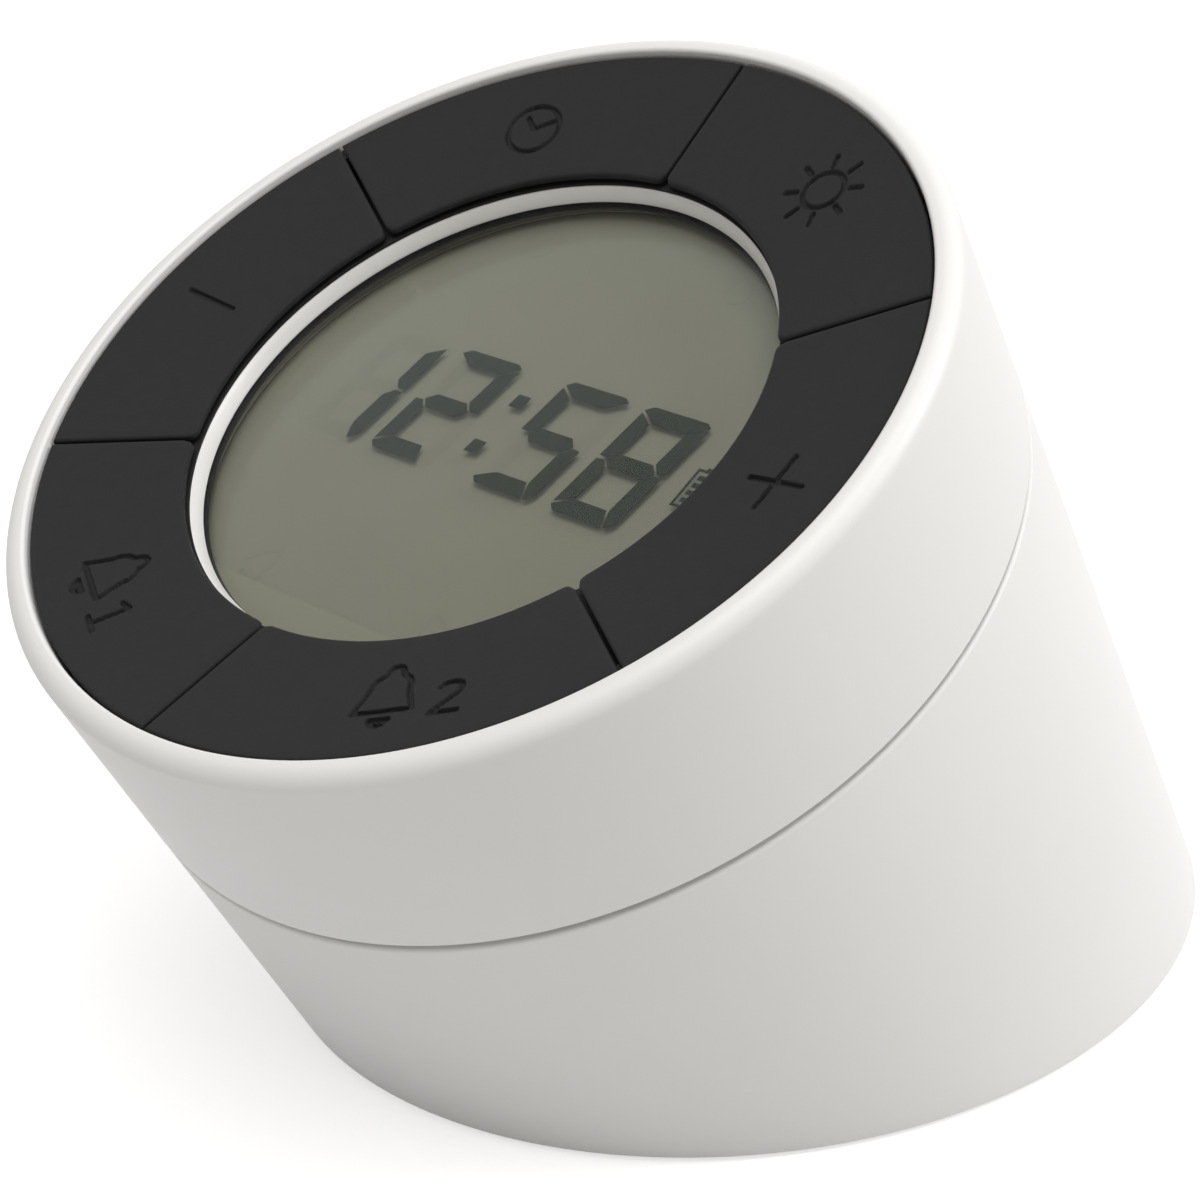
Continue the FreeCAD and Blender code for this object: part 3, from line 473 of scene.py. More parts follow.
# %% [markdown]
# ## The upper housing
#
# A plain sleeve with a rolled rim, moulded in satin white. The rim's outer round is wide
# and soft, and its inner one is small and crisp where it meets the keys. Inside are a
# ledge for the key frame and three screw bosses with ribs, joined on by a Boolean.

# %% Upper housing
RIM_TOP, HEAD_BOTTOM = 0.6, -23.25
LEDGE_RADIUS, LEDGE_UNDER, LEDGE = 43.2, -8.8, -6.8
BOSS_RADIUS, HOLE_RADIUS = 3.1, 1.0
BOSS_ANGLES = (90, 210, 330)
BOSSES = [around(39.4, a) for a in BOSS_ANGLES]
RIB_SPOT, RIB_LENGTH, RIB_WIDTH, RIB_END = 42.5, 6.2, 2.0, -20.45
upper = eased([
    (INNER_RADIUS, RIM_TOP, 0.4), (BODY_RADIUS, RIM_TOP, 1.7), (BODY_RADIUS, HEAD_BOTTOM, 0.22),
    (INNER_RADIUS, HEAD_BOTTOM, 0.1), (INNER_RADIUS, LEDGE_UNDER, 0.3),
    (LEDGE_RADIUS, LEDGE_UNDER, 0.15), (LEDGE_RADIUS, LEDGE, 0.15), (INNER_RADIUS, LEDGE, 0),
], 8)
upper_housing = mesh_piece("upper_housing", *turned(lambda angle: upper))
combine(upper_housing, [rod(*b, BOSS_RADIUS, WEB_TOP, LEDGE - 0.01) for b in BOSSES], "UNION")
for a in BOSS_ANGLES:
    turn = FACE @ Matrix.Rotation(radians(a), 4, "Z")
    rib = bar(RIB_SPOT, 0, RIB_LENGTH, RIB_WIDTH, RIB_END, LEDGE - 0.02)
    combine(upper_housing, [rib], "UNION", turn)
PILOT_ENDS = [(-12.8, -6.0), (-27.0, -20.0)]
pilots = [rod(*b, HOLE_RADIUS, *ends, 20) for ends in PILOT_ENDS for b in BOSSES]
combine(upper_housing, pilots, "DIFFERENCE")
shade(upper_housing)
settle(upper_housing, "clock_body", "head_white", ["head_shell"])

# %% [markdown]
# ## The lower housing
#
# The same sleeve again, but its foot is cut level with the table while the rest leans.
# For a point at a radius and an angle, the height at which the axis-parallel wall meets
# that level follows from the lean. A spigot reaches up inside the upper housing, a web
# closes the top, and bosses and rails inside carry the base plate and charging board.

# %% Lower housing
SPIGOT_RADIUS, SPIGOT_INNER, SPIGOT_TOP = 44.9, 43.1, -20.5
BASE_TOP = -23.95
FOOT_RISE = 0.5
WEB_HOLE = 15.0


def foot_height(radius, angle):
    return (FOOT_RISE - FACE_CENTRE.z - radius * sin(angle) * sin(TILT)) / cos(TILT)


def lower_section(angle):
    return eased([
        (SPIGOT_RADIUS, SPIGOT_TOP, 0.3), (SPIGOT_RADIUS, BASE_TOP, 0),
        (BODY_RADIUS, BASE_TOP, 0.42), (BODY_RADIUS, foot_height(BODY_RADIUS, angle), 0.35),
        (INNER_RADIUS, foot_height(INNER_RADIUS, angle), 0.1),
        (INNER_RADIUS, WEB_UNDER, 0.6), (WEB_HOLE, WEB_UNDER, 0.2), (WEB_HOLE, WEB_TOP, 0.2),
        (SPIGOT_INNER, WEB_TOP, 0.3), (SPIGOT_INNER, SPIGOT_TOP, 0.2),
    ])


lower_housing = mesh_piece("lower_housing", *turned(lower_section))
SCREW_SPOTS = [(x, y) for y in (-37.98, 31.995) for x in (-26.505, 26.505)]
POST_RADIUS, POST_LOW, POST_TOP = 3.5, 3.5, 12.5
posts = [rod(*spot, POST_RADIUS, POST_LOW, POST_TOP) for spot in SCREW_SPOTS]
combine(lower_housing, posts, "UNION", TABLE)
RIB_SHIFT = 3.7
ribs = [bar(x, y + (RIB_SHIFT if y > 0 else -RIB_SHIFT), RIB_WIDTH, 2 * RIB_SHIFT, 3.51, 8.0)
        for x, y in SCREW_SPOTS]
combine(lower_housing, ribs, "UNION", TABLE)
RAILS = (-8.5, 8.5)
combine(lower_housing, [bar(x, 41.6, 3.0, 7.2, -97.0, -79.0) for x in RAILS], "UNION")
post_holes = [rod(*spot, HOLE_RADIUS, 3.0, 9.5, 20) for spot in SCREW_SPOTS]
combine(lower_housing, post_holes, "DIFFERENCE", TABLE)
HOLE_LOW, HOLE_HIGH = -29.0, -25.0
PILLAR_ANGLES = (30, 150, 270)
LAMP_PILLARS = [around(26.0, a) for a in PILLAR_ANGLES]
web_holes = [rod(*spot, 1.2, HOLE_LOW, HOLE_HIGH, 20) for spot in BOSSES]
web_holes += [rod(*spot, HOLE_RADIUS, HOLE_LOW, HOLE_HIGH, 20) for spot in LAMP_PILLARS]
combine(lower_housing, web_holes, "DIFFERENCE")
SOCKET_DEPTH, SLOT_WIDTH, SLOT_HALF = 91.0, 9.6, 1.95
slot = bar(0, 44.0, SLOT_WIDTH, 12.0, -SOCKET_DEPTH - SLOT_HALF, -SOCKET_DEPTH + SLOT_HALF)
combine(lower_housing, [slot], "DIFFERENCE")
across = FACE @ Matrix.Rotation(radians(-90), 4, "X")
rail_holes = [rod(x, 82.0, HOLE_RADIUS, 37.0, 42.0, 20) for x in RAILS]
combine(lower_housing, rail_holes, "DIFFERENCE", across)
shade(lower_housing)
settle(lower_housing, "clock_body", "base_white", ["base_shell"])

# %% [markdown]
# ## The wall round the display
#
# A narrow ring of smooth white plastic slopes down from the keys to the window. Its top
# edge is eased, and that small round is what catches the bright line in the daylight.

# %% Sloping wall
wall = eased([
    (29.1, -5.45, 0.05), (29.1, -5.2, 0), (29.75, -3.8, 0.3), (30.7, -3.8, 0.1), (30.7, -4.6, 0),
    (31.4, -4.6, 0.1), (31.4, -5.2, 0), (30.65, -5.2, 0), (30.65, -5.45, 0),
])
sloping_wall = mesh_piece("sloping_wall", *turned(lambda angle: wall, 256))
shade(sloping_wall, 40)
settle(sloping_wall, "clock_body", "bezel_white", ["display_bezel"])
border = block(28.92, -6.17, 30.25, -6.19)
black_border = mesh_piece("black_border", *turned(lambda angle: border, 192))
settle(black_border, "clock_body", "display_glass", finish=border_ink)

# %% [markdown]
# ## The glazing
#
# Window, two glass plates, film and light guide lie on each other like coins. The lower
# three have a straight lower side, which leaves the upper glass's contacts free. The clear
# ones let the lamps' light through, so they throw no shadow of their own.

# %% Discs with eased edges
def disc_outline(radius, cut, steps=192):
    first = asin(cut / radius) if cut else 0.0
    sweep = pi - 2 * first if cut else 2 * pi
    turns = [first + sweep * i / steps for i in range(steps + 1 if cut else steps)]
    return [(radius * cos(turn), radius * sin(turn)) for turn in turns]


def disc(radius, low, high, cut, ease):
    points, faces = [], []
    levels = [(ease, low), (0, low + ease), (0, high - ease), (ease, high)]
    for inset, height in levels:
        points += [(x, y, height) for x, y in disc_outline(radius - inset, cut and cut + inset)]
    count = len(points) // len(levels)
    for start in range(0, 3 * count, count):
        for i in range(count):
            after = (i + 1) % count
            faces.append((start + i, start + after, start + count + after, start + count + i))
    faces += [tuple(range(count)), tuple(range(3 * count, 4 * count))]
    return points, faces


# %% Window, glass plates, film and light guide
STRAIGHT_SIDE = -24.5
PLATE_EASE = 0.06
# name, radius, underside, top, straight side, slot, the solid it stands for
LAYERS = [
    ("front_window", 30.3, -6.15, -5.45, None, "clear_window", "display_window"),
    ("upper_glass", 30.0, -6.8, -6.2, None, "display_glass", "lcd_front_glass"),
    ("lower_glass", 30.0, -7.48, -6.9, STRAIGHT_SIDE, "display_glass", "lcd_back_glass"),
    ("daylight_film", 30.0, -7.7, -7.5, STRAIGHT_SIDE, "display_film", "lcd_reflector"),
    ("light_plate", 30.0, -9.9, -7.71, STRAIGHT_SIDE, "clear_guide", "light_guide"),
]
for name, radius, low, high, cut, slot, node in LAYERS:
    layer = mesh_piece(name, *disc(radius, low, high, cut, PLATE_EASE))
    shade(layer)
    settle(layer, "clock_body", slot, [node])
    if slot in ("clear_window", "display_glass"):
        layer.visible_shadow = False
        layer.visible_diffuse = False

# %% [markdown]
# The contacts below the straight side don't show, because the upper glass is printed there
# on its underside in the film's own grey. A thin liner of the same grey stands round the
# plates, where a slanting look past the film's edge would meet the white holder.

# %% Printed mask over the contacts, and a grey liner round the film
MASK_RADIUS = 29.9
first = asin((STRAIGHT_SIDE + 0.1) / MASK_RADIUS)
mask_turns = [pi - first + (pi + 2 * first) * i / 60 for i in range(61)]
mask_outline = [(MASK_RADIUS * cos(turn), MASK_RADIUS * sin(turn)) for turn in mask_turns]
contact_mask = mesh_piece("contact_mask", *prism(mask_outline, -6.798, -6.785))
settle(contact_mask, "clock_body", "display_film")
liner = block(30.02, -7.48, 30.08, -6.2)
grey_liner = mesh_piece("grey_liner", *turned(lambda angle: liner, 192))
shade(grey_liner)
settle(grey_liner, "clock_body", "display_film")

# %% [markdown]
# ## Signs that are pressed into the keys
#
# Each key has a sign made of strokes of one width: straight lines and circles. A stroke
# list is enough to find how far any point lies from the nearest stroke, and that distance
# decides how deep the rubber is pressed in there. The signs of the two alarm keys stand
# upright towards the middle of the ring.

# %% Strokes of the six signs
def line(*points):
    return [("line", a, b) for a, b in zip(points, points[1:])]


def placed(strokes, centre, up=90):
    right = Vector((sin(radians(up)), -cos(radians(up))))
    upward = Vector((cos(radians(up)), sin(radians(up))))
    middle = Vector(centre)

    def spot(p):
        return tuple(middle + right * p[0] + upward * p[1])

    moved = []
    for kind, first, second in strokes:
        moved.append((kind, spot(first), spot(second) if kind == "line" else second))
    return moved


def toward(angle, reach):
    return reach * cos(radians(angle)), reach * sin(radians(angle))


DIAL = [("ring", (0, 0), 2.85)] + line(toward(145, 1.75), (0, 0), toward(42, 2.45))
SUN = [("ring", (0, 0), 2.12)]
for index in range(8):
    SUN += line(toward(14 + 45 * index, 2.9), toward(14 + 45 * index, 4.1))
PLUS = line((-3.0, 0), (3.0, 0)) + line((0, -3.0), (0, 3.0))
MINUS = line((-3.0, 0), (3.0, 0))
half_bell = [(2.8, -2.75), (2.5, -1.9), (2.2, -1.15), (1.95, -0.3), (1.8, 0.7), (1.5, 1.25),
             (0.85, 1.75), (0.7, 2.25), (0.42, 2.7), (0, 2.85)]
BELL = line(*half_bell, *[(-x, y) for x, y in half_bell[-2::-1]], half_bell[0])
BELL += line((-0.9, -3.8), (0.9, -3.8), (0.6, -4.35), (0, -4.6), (-0.6, -4.35), (-0.9, -3.8))
ONE = line((-1.1, 1.45), (0, 1.9), (0, -1.9)) + line((-1.1, -1.9), (1.1, -1.9))
TWO = line((-1.0, 1.3), (-0.7, 1.65), (-0.2, 1.83), (0.4, 1.83), (0.9, 1.6), (1.12, 1.15),
           (1.0, 0.5), (-1.25, -1.8), (1.3, -1.8))
SIGNS = {
    "plus": (0, placed(PLUS, (37.55, 0.05))),
    "light": (60, placed(SUN, (19.0, 32.2))),
    "time": (120, placed(DIAL, (-18.65, 31.6))),
    "minus": (180, placed(MINUS, (-37.75, 0.05))),
    "alarm_one": (240, placed(BELL, (-18.8, -31.5), 60) + placed(ONE, (-14.75, -36.15), 60)),
    "alarm_two": (300, placed(BELL, (18.75, -31.4), 120) + placed(TWO, (24.85, -30.1), 120)),
}
print({name: len(strokes) for name, (angle, strokes) in SIGNS.items()})


# %% How deep the rubber is pressed in
STROKE_HALF = 0.28
STROKE_WALL = 0.13
STROKE_DEPTH = 0.42


def pressed_in(x, v, strokes):
    nearest = np.full(x.shape, 99.0)
    for kind, first, second in strokes:
        if kind == "ring":
            away = np.abs(np.hypot(x - first[0], v - first[1]) - second)
        else:
            along = np.array(second) - np.array(first)
            share = ((x - first[0]) * along[0] + (v - first[1]) * along[1]) / (along @ along)
            share = np.clip(share, 0, 1)
            away = np.hypot(x - first[0] - share * along[0], v - first[1] - share * along[1])
        nearest = np.minimum(nearest, away)
    share = np.clip((STROKE_HALF - nearest) / STROKE_WALL + 0.5, 0, 1)
    return STROKE_DEPTH * share * share * (3 - 2 * share)


# %% [markdown]
# ## The dished keys
#
# A key is a sixth of a ring whose top falls inwards like a shallow dish. Its mesh is a grid
# of rows, at fixed radii, and columns, at fixed shares of the width. The lines crowd
# together at the edges, where a quarter round is laid on, and round the sign, where the
# strokes are pressed in. The outline narrows over the last millimetre at the inner
# corners, which rounds them. All six keys follow this one rule.

# %% Rows, columns and the height of a key's top
KEY_OUTER = 44.7
KEY_INNER = 29.8
KEY_DISH = 2.4
KEY_SLIT = 0.36
KEY_CORNER = 1.0
KEY_EASE = 0.34
KEY_UNDER = -3.0
COARSE_ROW, COARSE_SHARE, FINE_STEP = 0.8, 0.045, 0.085
SIGN_RING = 37.5
EASE_STATIONS = [KEY_EASE * share for share in (0, 0.02, 0.09, 0.2, 0.36, 0.56, 0.78)]


def stations(low, high, coarse, fine_low, fine_high, fine):
    """Even steps from low to high, small ones between fine_low and fine_high."""
    marks = [low, max(low, fine_low), min(high, fine_high), high]
    result = []
    for start, end, step in zip(marks, marks[1:], (coarse, fine, coarse)):
        if end > start:
            count = max(2, ceil((end - start) / step))
            result += list(np.linspace(start, end, count, endpoint=False))
    return result + [high]


def half_width(radius):
    """Half the angle that a key spans at a radius, less its slit and its rounded corner."""
    short = KEY_CORNER - np.minimum(radius - KEY_INNER, KEY_CORNER)
    inset = KEY_CORNER - np.sqrt(KEY_CORNER ** 2 - short ** 2)
    return radians(30) - np.arcsin((KEY_SLIT / 2 + inset) / radius)


def edge_drop(radius, angle):
    """How far the eased edge lies below the plain top, from the distance to the outline."""
    inner = radius - KEY_INNER
    side = radius * np.sin(radians(30) - np.abs(angle)) - KEY_SLIT / 2
    corner = KEY_CORNER - np.hypot(KEY_CORNER - inner, KEY_CORNER - side)
    in_corner = (inner < KEY_CORNER) & (side < KEY_CORNER)
    away = np.where(in_corner, corner, np.minimum(inner, side))
    away = np.clip(np.minimum(away, KEY_OUTER - radius), 0, KEY_EASE)
    return KEY_EASE - np.sqrt(KEY_EASE ** 2 - (KEY_EASE - away) ** 2)


# %% One key from its sign
def key_form(middle, strokes):
    turn = radians(middle)
    ends = [p for kind, a, b in strokes for p in ((a, b) if kind == "line" else (a,))]
    spread = 0.8 + max([b for kind, a, b in strokes if kind == "ring"], default=0)
    radii = [hypot(*p) for p in ends]
    turns = [(atan2(p[1], p[0]) - turn + pi) % (2 * pi) - pi for p in ends]
    rows = [KEY_INNER + e for e in EASE_STATIONS]
    rows += stations(KEY_INNER + KEY_EASE, KEY_OUTER - KEY_EASE, COARSE_ROW,
                     min(radii) - spread, max(radii) + spread, FINE_STEP)
    rows += [KEY_OUTER - e for e in reversed(EASE_STATIONS)]
    widest = float(half_width(np.array(KEY_OUTER)))
    reach = spread / min(radii)
    shares = stations(-1.0, 1.0, COARSE_SHARE, (min(turns) - reach) / widest,
                      (max(turns) + reach) / widest, FINE_STEP / SIGN_RING / widest)
    radius = np.array(rows)[:, None]
    limit = half_width(radius)
    middle_part = np.array(shares)[None, :] * (limit - KEY_EASE / radius)
    edge = np.array(EASE_STATIONS)[None, :]
    angle = np.hstack([-(limit - edge / radius), middle_part, (limit - edge[:, ::-1] / radius)])
    radius = np.broadcast_to(radius, angle.shape)
    x = radius * np.cos(angle + turn)
    v = radius * np.sin(angle + turn)
    dish = -KEY_DISH * (KEY_OUTER - radius) / (KEY_OUTER - KEY_INNER)
    height = dish - edge_drop(radius, angle) - pressed_in(x, v, strokes)
    return close_form(x, v, height)


def close_form(x, v, height):
    rows, columns = x.shape
    points = list(zip(x.ravel().tolist(), v.ravel().tolist(), height.ravel().tolist()))
    faces = [(at, at + columns, at + columns + 1, at + 1)
             for at in (i * columns + j for i in range(rows - 1) for j in range(columns - 1))]
    rim = list(range(columns))
    rim += [i * columns + columns - 1 for i in range(1, rows)]
    rim += [(rows - 1) * columns + j for j in range(columns - 2, -1, -1)]
    rim += [i * columns for i in range(rows - 2, 0, -1)]
    start = len(points)
    points += [(points[i][0], points[i][1], KEY_UNDER) for i in rim]
    count = len(rim)
    for i in range(count):
        after = (i + 1) % count
        faces.append((rim[i], rim[after], start + after, start + i))
    faces.append(tuple(range(start, start + count)))
    return points, faces


# %% Skirt, stem and guide pins under each key
SKIRT_INNER, SKIRT_END = 43.5, -4.4
STEM_RING, STEM_RADIUS, STEM_END = 37.25, 2.0, -7.37
PIN_TURN, PIN_RADIUS, BARB_RADIUS, BARB_TOP, PIN_END = 17, 1.0, 1.5, -6.8, -7.7


def under_key(middle):
    wide = float(half_width(np.array(KEY_OUTER)))
    sweep = [radians(middle) + wide * (i / 12 - 1) for i in range(25)]
    skirt = [(KEY_OUTER * cos(a), KEY_OUTER * sin(a)) for a in sweep]
    skirt += [(SKIRT_INNER * cos(a), SKIRT_INNER * sin(a)) for a in reversed(sweep)]
    forms = [prism(skirt, SKIRT_END, KEY_UNDER)]
    forms.append(rod(*around(STEM_RING, middle), STEM_RADIUS, STEM_END, KEY_UNDER))
    for side in (-PIN_TURN, PIN_TURN):
        spot = around(STEM_RING, middle + side)
        forms.append(rod(*spot, PIN_RADIUS, BARB_TOP, KEY_UNDER, 20))
        forms.append(rod(*spot, BARB_RADIUS, PIN_END, BARB_TOP, 20))
    return forms


# %% The six keys
for name, (middle, strokes) in SIGNS.items():
    forms = [key_form(middle, strokes)] + under_key(middle)
    key = mesh_piece(f"{name}_keycap", *gathered(forms))
    shade(key, 50)
    settle(key, f"{name}_button", "key_rubber", [f"{name}_key"])

# %% [markdown]
# Under the slits lies a thin black web of the same rubber: a ring on top of the sloping wall
# and six strips. Each strip ends in a blade that stands in its slit, so no white shows there.

# %% The web under the slits
BLADE_WIDTH, BLADE_TOP = 0.26, -0.75
web_section = block(29.72, -3.78, 30.7, -3.56)
key_web = mesh_piece("key_web", *turned(lambda angle: web_section, 192))
for middle in range(30, 390, 60):
    turn = FACE @ Matrix.Rotation(radians(middle), 4, "Z")
    combine(key_web, [bar(37.0, 0, 12.8, 2.0, -3.76, -3.58)], "UNION", turn)
    combine(key_web, [bar(44.0, 0, 1.7, BLADE_WIDTH, SKIRT_END, BLADE_TOP)], "UNION", turn)
shade(key_web)
settle(key_web, "clock_body", "key_rubber")

# %% [markdown]
# ## What the display shows
#
# A digit has seven segments with mitred ends and clipped outer corners, and leans by a few
# degrees. They are thin plates in the gap between the two glass plates, so that they throw a
# soft shadow on the film below, as the real ones do. Segments at rest still show as
# faintly darker shapes, here thin plates that lie on the film. Faint plates of the same kind
# also paint reflections of the sun and dial keys' signs onto the film.

# %% One digit
DIGIT_WIDTH, DIGIT_HEIGHT, SEGMENT = 8.0, 13.9, 1.83
DIGIT_LEAN = tan(radians(6.2))
GAP = 0.15


def digit_segments():
    w, h, t, m = DIGIT_WIDTH, DIGIT_HEIGHT, SEGMENT, DIGIT_HEIGHT / 2
    top = [(0.75, h), (w - 0.7, h), (w, h - 0.5), (w - GAP - t, h - t), (GAP + t, h - t),
           (0, h - 0.65)]
    foot = [(0.75, 0), (w - 1.25, 0), (w - GAP * 2 - t, t), (GAP + t, t), (0, 0.65)]
    upper_left = [(0, h - 0.95), (t, h - t - GAP * 1.5), (t, m + t / 2 + GAP), (t / 2, m + GAP),
                  (0, m + GAP * 1.5)]
    lower_left = [(x, h - y) for x, y in upper_left]
    upper_right = [(w, h - 0.8), (w - t, h - t - GAP), (w - t, m + t / 2 + GAP),
                   (w - t / 2, m + GAP), (w, m + GAP * 1.5)]
    lower_right = [(w - t, t), (w - 0.98, 0), (w - 0.65, 0), (w, 0.8), (w, m - GAP * 1.5),
                   (w - t / 2, m - GAP), (w - t, m - t / 2 - GAP)]
    middle = [(t / 2 + GAP, m), (t + GAP, m + t / 2), (w - t - GAP, m + t / 2),
              (w - t / 2 - GAP, m), (w - t - GAP, m - t / 2), (t + GAP, m - t / 2)]
    return {"a": top, "b": upper_right, "c": lower_right, "d": foot, "e": lower_left,
            "f": upper_left, "g": middle}


LIT = {"1": "bc", "2": "abged", "5": "afgcd", "8": "abcdefg"}
STARTS = [("1", -21.4), ("2", -11.3), ("5", 2.8), ("8", 12.95)]
FOOT_V = -6.45


def leaned(shape, x, v):
    return [(x + px + py * DIGIT_LEAN, v + py) for px, py in shape]


lit, resting_and_reflected = [], []
for figure, start in STARTS:
    for letter, shape in digit_segments().items():
        target = lit if letter in LIT[figure] else resting_and_reflected
        target.append(leaned(shape, start, FOOT_V))
DOT_HALF = 0.8
DOTS = [(0.95, 3.45), (0.4, -2.75)]
dot = block(-DOT_HALF, -DOT_HALF, DOT_HALF, DOT_HALF)
lit += [leaned(dot, *spot) for spot in DOTS]
print("segments dark:", len(lit), "at rest:", len(resting_and_reflected))


# %% Small signs on the display, and painted reflections of the sun and dial keys
def frame_bars(left, low, right, high, width):
    within = (low + width, high - width)
    return [block(left, low, right, within[0]), block(left, within[1], right, high),
            block(left, within[0], left + width, within[1]),
            block(right - width, within[0], right, within[1]),
            block(left + 0.9, high, right - 0.9, high + width)]


def ribbon(strokes, width):
    shapes = []
    for kind, first, second in strokes:
        if kind == "line":
            a, b = Vector(first), Vector(second)
            side = (b - a).normalized().orthogonal() * width / 2
            shapes.append([tuple(a + side), tuple(a - side), tuple(b - side), tuple(b + side)])
    return shapes


battery = frame_bars(24.4, -1.95, 27.8, 2.65, 0.3)
battery += [block(25.05, y, 27.15, y + 0.55) for y in (-1.3, -0.4, 0.5, 1.4)]
# Painted reflection: the sun and dial keys' signs, as mirrored in the glass, are drawn here as
# faint dark marks on the film.
reflected_sun_rays = []
for index in range(8):
    reflected_sun_rays += line(toward(14 + 45 * index, 2.0), toward(14 + 45 * index, 2.6))
reflected_dial_hands = line(toward(145, 1.2), (0, 0), toward(42, 1.4))
BELL_SHARE, BELL_RING = 0.62, 24.6
small_bell = [(kind, tuple(Vector(a) * BELL_SHARE), tuple(Vector(b) * BELL_SHARE))
              for kind, a, b in BELL]
SUN_REFLECTION_SPOT, DIAL_REFLECTION_SPOT = (12.95, 23.1), (-12.9, 22.75)
bells_and_reflections = placed(reflected_sun_rays, SUN_REFLECTION_SPOT) + placed(reflected_dial_hands, DIAL_REFLECTION_SPOT)
for angle, up in ((-118, 60), (-62, 120)):
    bells_and_reflections += placed(small_bell, around(BELL_RING, angle), up)
resting_and_reflected += ribbon(bells_and_reflections, 0.32)


def thin_ring(x, v, radius, width, low, high, steps=40):
    section = block(radius - width / 2, low, radius + width / 2, high)
    points, faces = turned(lambda angle: section, steps)
    return [(x + px, v + pv, h) for px, pv, h in points], faces


# %% Dark segments, and resting segments with the painted reflections
INK_TOP, INK_LOW = -6.82, -6.85
ink_forms = [prism(shape, INK_LOW, INK_TOP) for shape in lit + battery]
dark_segments = mesh_piece("dark_segments", *gathered(ink_forms))
settle(dark_segments, "clock_body", "display_glass", finish=segment_ink)
FILM_TOP = -7.5
# Rings of the painted reflections of the sun and dial signs, lying on the film with the resting
# segments.
reflected_sign_rings = [thin_ring(*SUN_REFLECTION_SPOT, 1.5, 0.3, FILM_TOP, FILM_TOP + 0.012),
         thin_ring(*DIAL_REFLECTION_SPOT, 1.95, 0.32, FILM_TOP, FILM_TOP + 0.012)]
resting_and_reflected_forms = [prism(shape, FILM_TOP, FILM_TOP + 0.01) for shape in resting_and_reflected]
resting_segments_and_reflections = mesh_piece("resting_segments_and_reflections", *gathered(resting_and_reflected_forms + reflected_sign_rings))
settle(resting_segments_and_reflections, "clock_body", "display_film", finish=resting_and_reflection_ink)

# %% [markdown]
# ## Repeated pieces by geometry nodes
#
# Screws, lamps and contacts repeat, so a node tree makes each kind once and copies it to a
# list of points. The tree has named inputs for its sizes, turns the copies into real mesh
# and sets their finish. Its result is then kept as a plain mesh, and the tree is let go.

# %% Building and growing a tree
class Tree(Nodes):
    def __init__(self, name, sizes):
        super().__init__(bpy.data.node_groups.new(name, "GeometryNodeTree"))
        sockets = self.tree.interface
        sockets.new_socket("Points", in_out="INPUT", socket_type="NodeSocketGeometry")
        for label in sizes:
            sockets.new_socket(label, in_out="INPUT", socket_type="NodeSocketFloat")
        sockets.new_socket("Pieces", in_out="OUTPUT", socket_type="NodeSocketGeometry")
        given = self.tree.nodes.new("NodeGroupInput").outputs
        self.points, *self.sizes = [Value(self, given[label]) for label in ["Points", *sizes]]

    def cylinder(self, sides, radius, depth):
        return self.node("GeometryNodeMeshCylinder", None,
                         {"Vertices": sides, "Radius": radius, "Depth": depth})

    def block(self, x, y, z):
        size = self.node("ShaderNodeCombineXYZ", None, {"X": x, "Y": y, "Z": z})
        return self.node("GeometryNodeMeshCube", None, {"Size": size})

    def lifted(self, form, height):
        """A form moved along its own axis."""
        shift = self.node("ShaderNodeCombineXYZ", None, {"Z": height})
        return self.node("GeometryNodeTransform", None, {"Geometry": form, "Translation": shift})

    def finish(self, form, material):
        """Copies the form to the points, makes the copies real and sets their finish."""
        copies = self.node("GeometryNodeInstanceOnPoints", None,
                           {"Points": self.points, "Instance": form})
        real = self.node("GeometryNodeRealizeInstances", None, {"Geometry": copies})
        painted = self.node("GeometryNodeSetMaterial", None,
                            {"Geometry": real, "Material": material})
        self.feed(self.tree.nodes.new("NodeGroupOutput").inputs["Pieces"], painted)


def grown(name, spots, tree, sizes, place=FACE):
    mesh = bpy.data.meshes.new(name)
    mesh.from_pydata([tuple(MM * Vector(p)) for p in spots], [], [])
    piece = bpy.data.objects.new(name, mesh)
    bpy.context.scene.collection.objects.link(piece)
    grower = piece.modifiers.new("grower", "NODES")
    grower.node_group = tree.tree
    for item in tree.tree.interface.items_tree:
        if item.in_out == "INPUT" and item.name in sizes:
            grower[item.identifier] = float(sizes[item.name] * MM)
    graph = bpy.context.evaluated_depsgraph_get()
    result = bpy.data.meshes.new_from_object(piece.evaluated_get(graph))
    piece.modifiers.clear()
    piece.data = result
    turn = place.to_3x3().to_4x4()
    result.transform(Matrix.Translation(place.to_translation() * MM) @ turn)
    shade(piece)
    return piece


# %% [markdown]
# A screw is a round head with a cross recess and a shank. In the tree, two cylinders make
# head and shank and two thin blocks cut the cross. The length is an input, because the
# screws of each set differ in it.

# %% Screws
screws = Tree("cross_screws", ["Head Radius", "Head Height", "Shank Radius", "Shank Length"])
head_radius, head_height, shank_radius, shank_length = screws.sizes
head = screws.lifted(screws.cylinder(28, head_radius, head_height), head_height * -0.5)
shank = screws.lifted(screws.cylinder(16, shank_radius, shank_length), shank_length * 0.5)
blade_long, blade_thin = head_radius * 1.2, head_radius * 0.26
blades = [screws.lifted(screws.block(x, y, head_height * 1.2), head_height * -1.0)
          for x, y in ((blade_long, blade_thin), (blade_thin, blade_long))]
recessed = screws.node("GeometryNodeMeshBoolean", {"operation": "DIFFERENCE", "solver": "EXACT"},
                       {"Mesh 1": head, "Mesh 2": blades})
whole = screws.node("GeometryNodeJoinGeometry", None, {"Geometry": [recessed, shank]})
screws.finish(whole, FINISHES["screw_steel"])

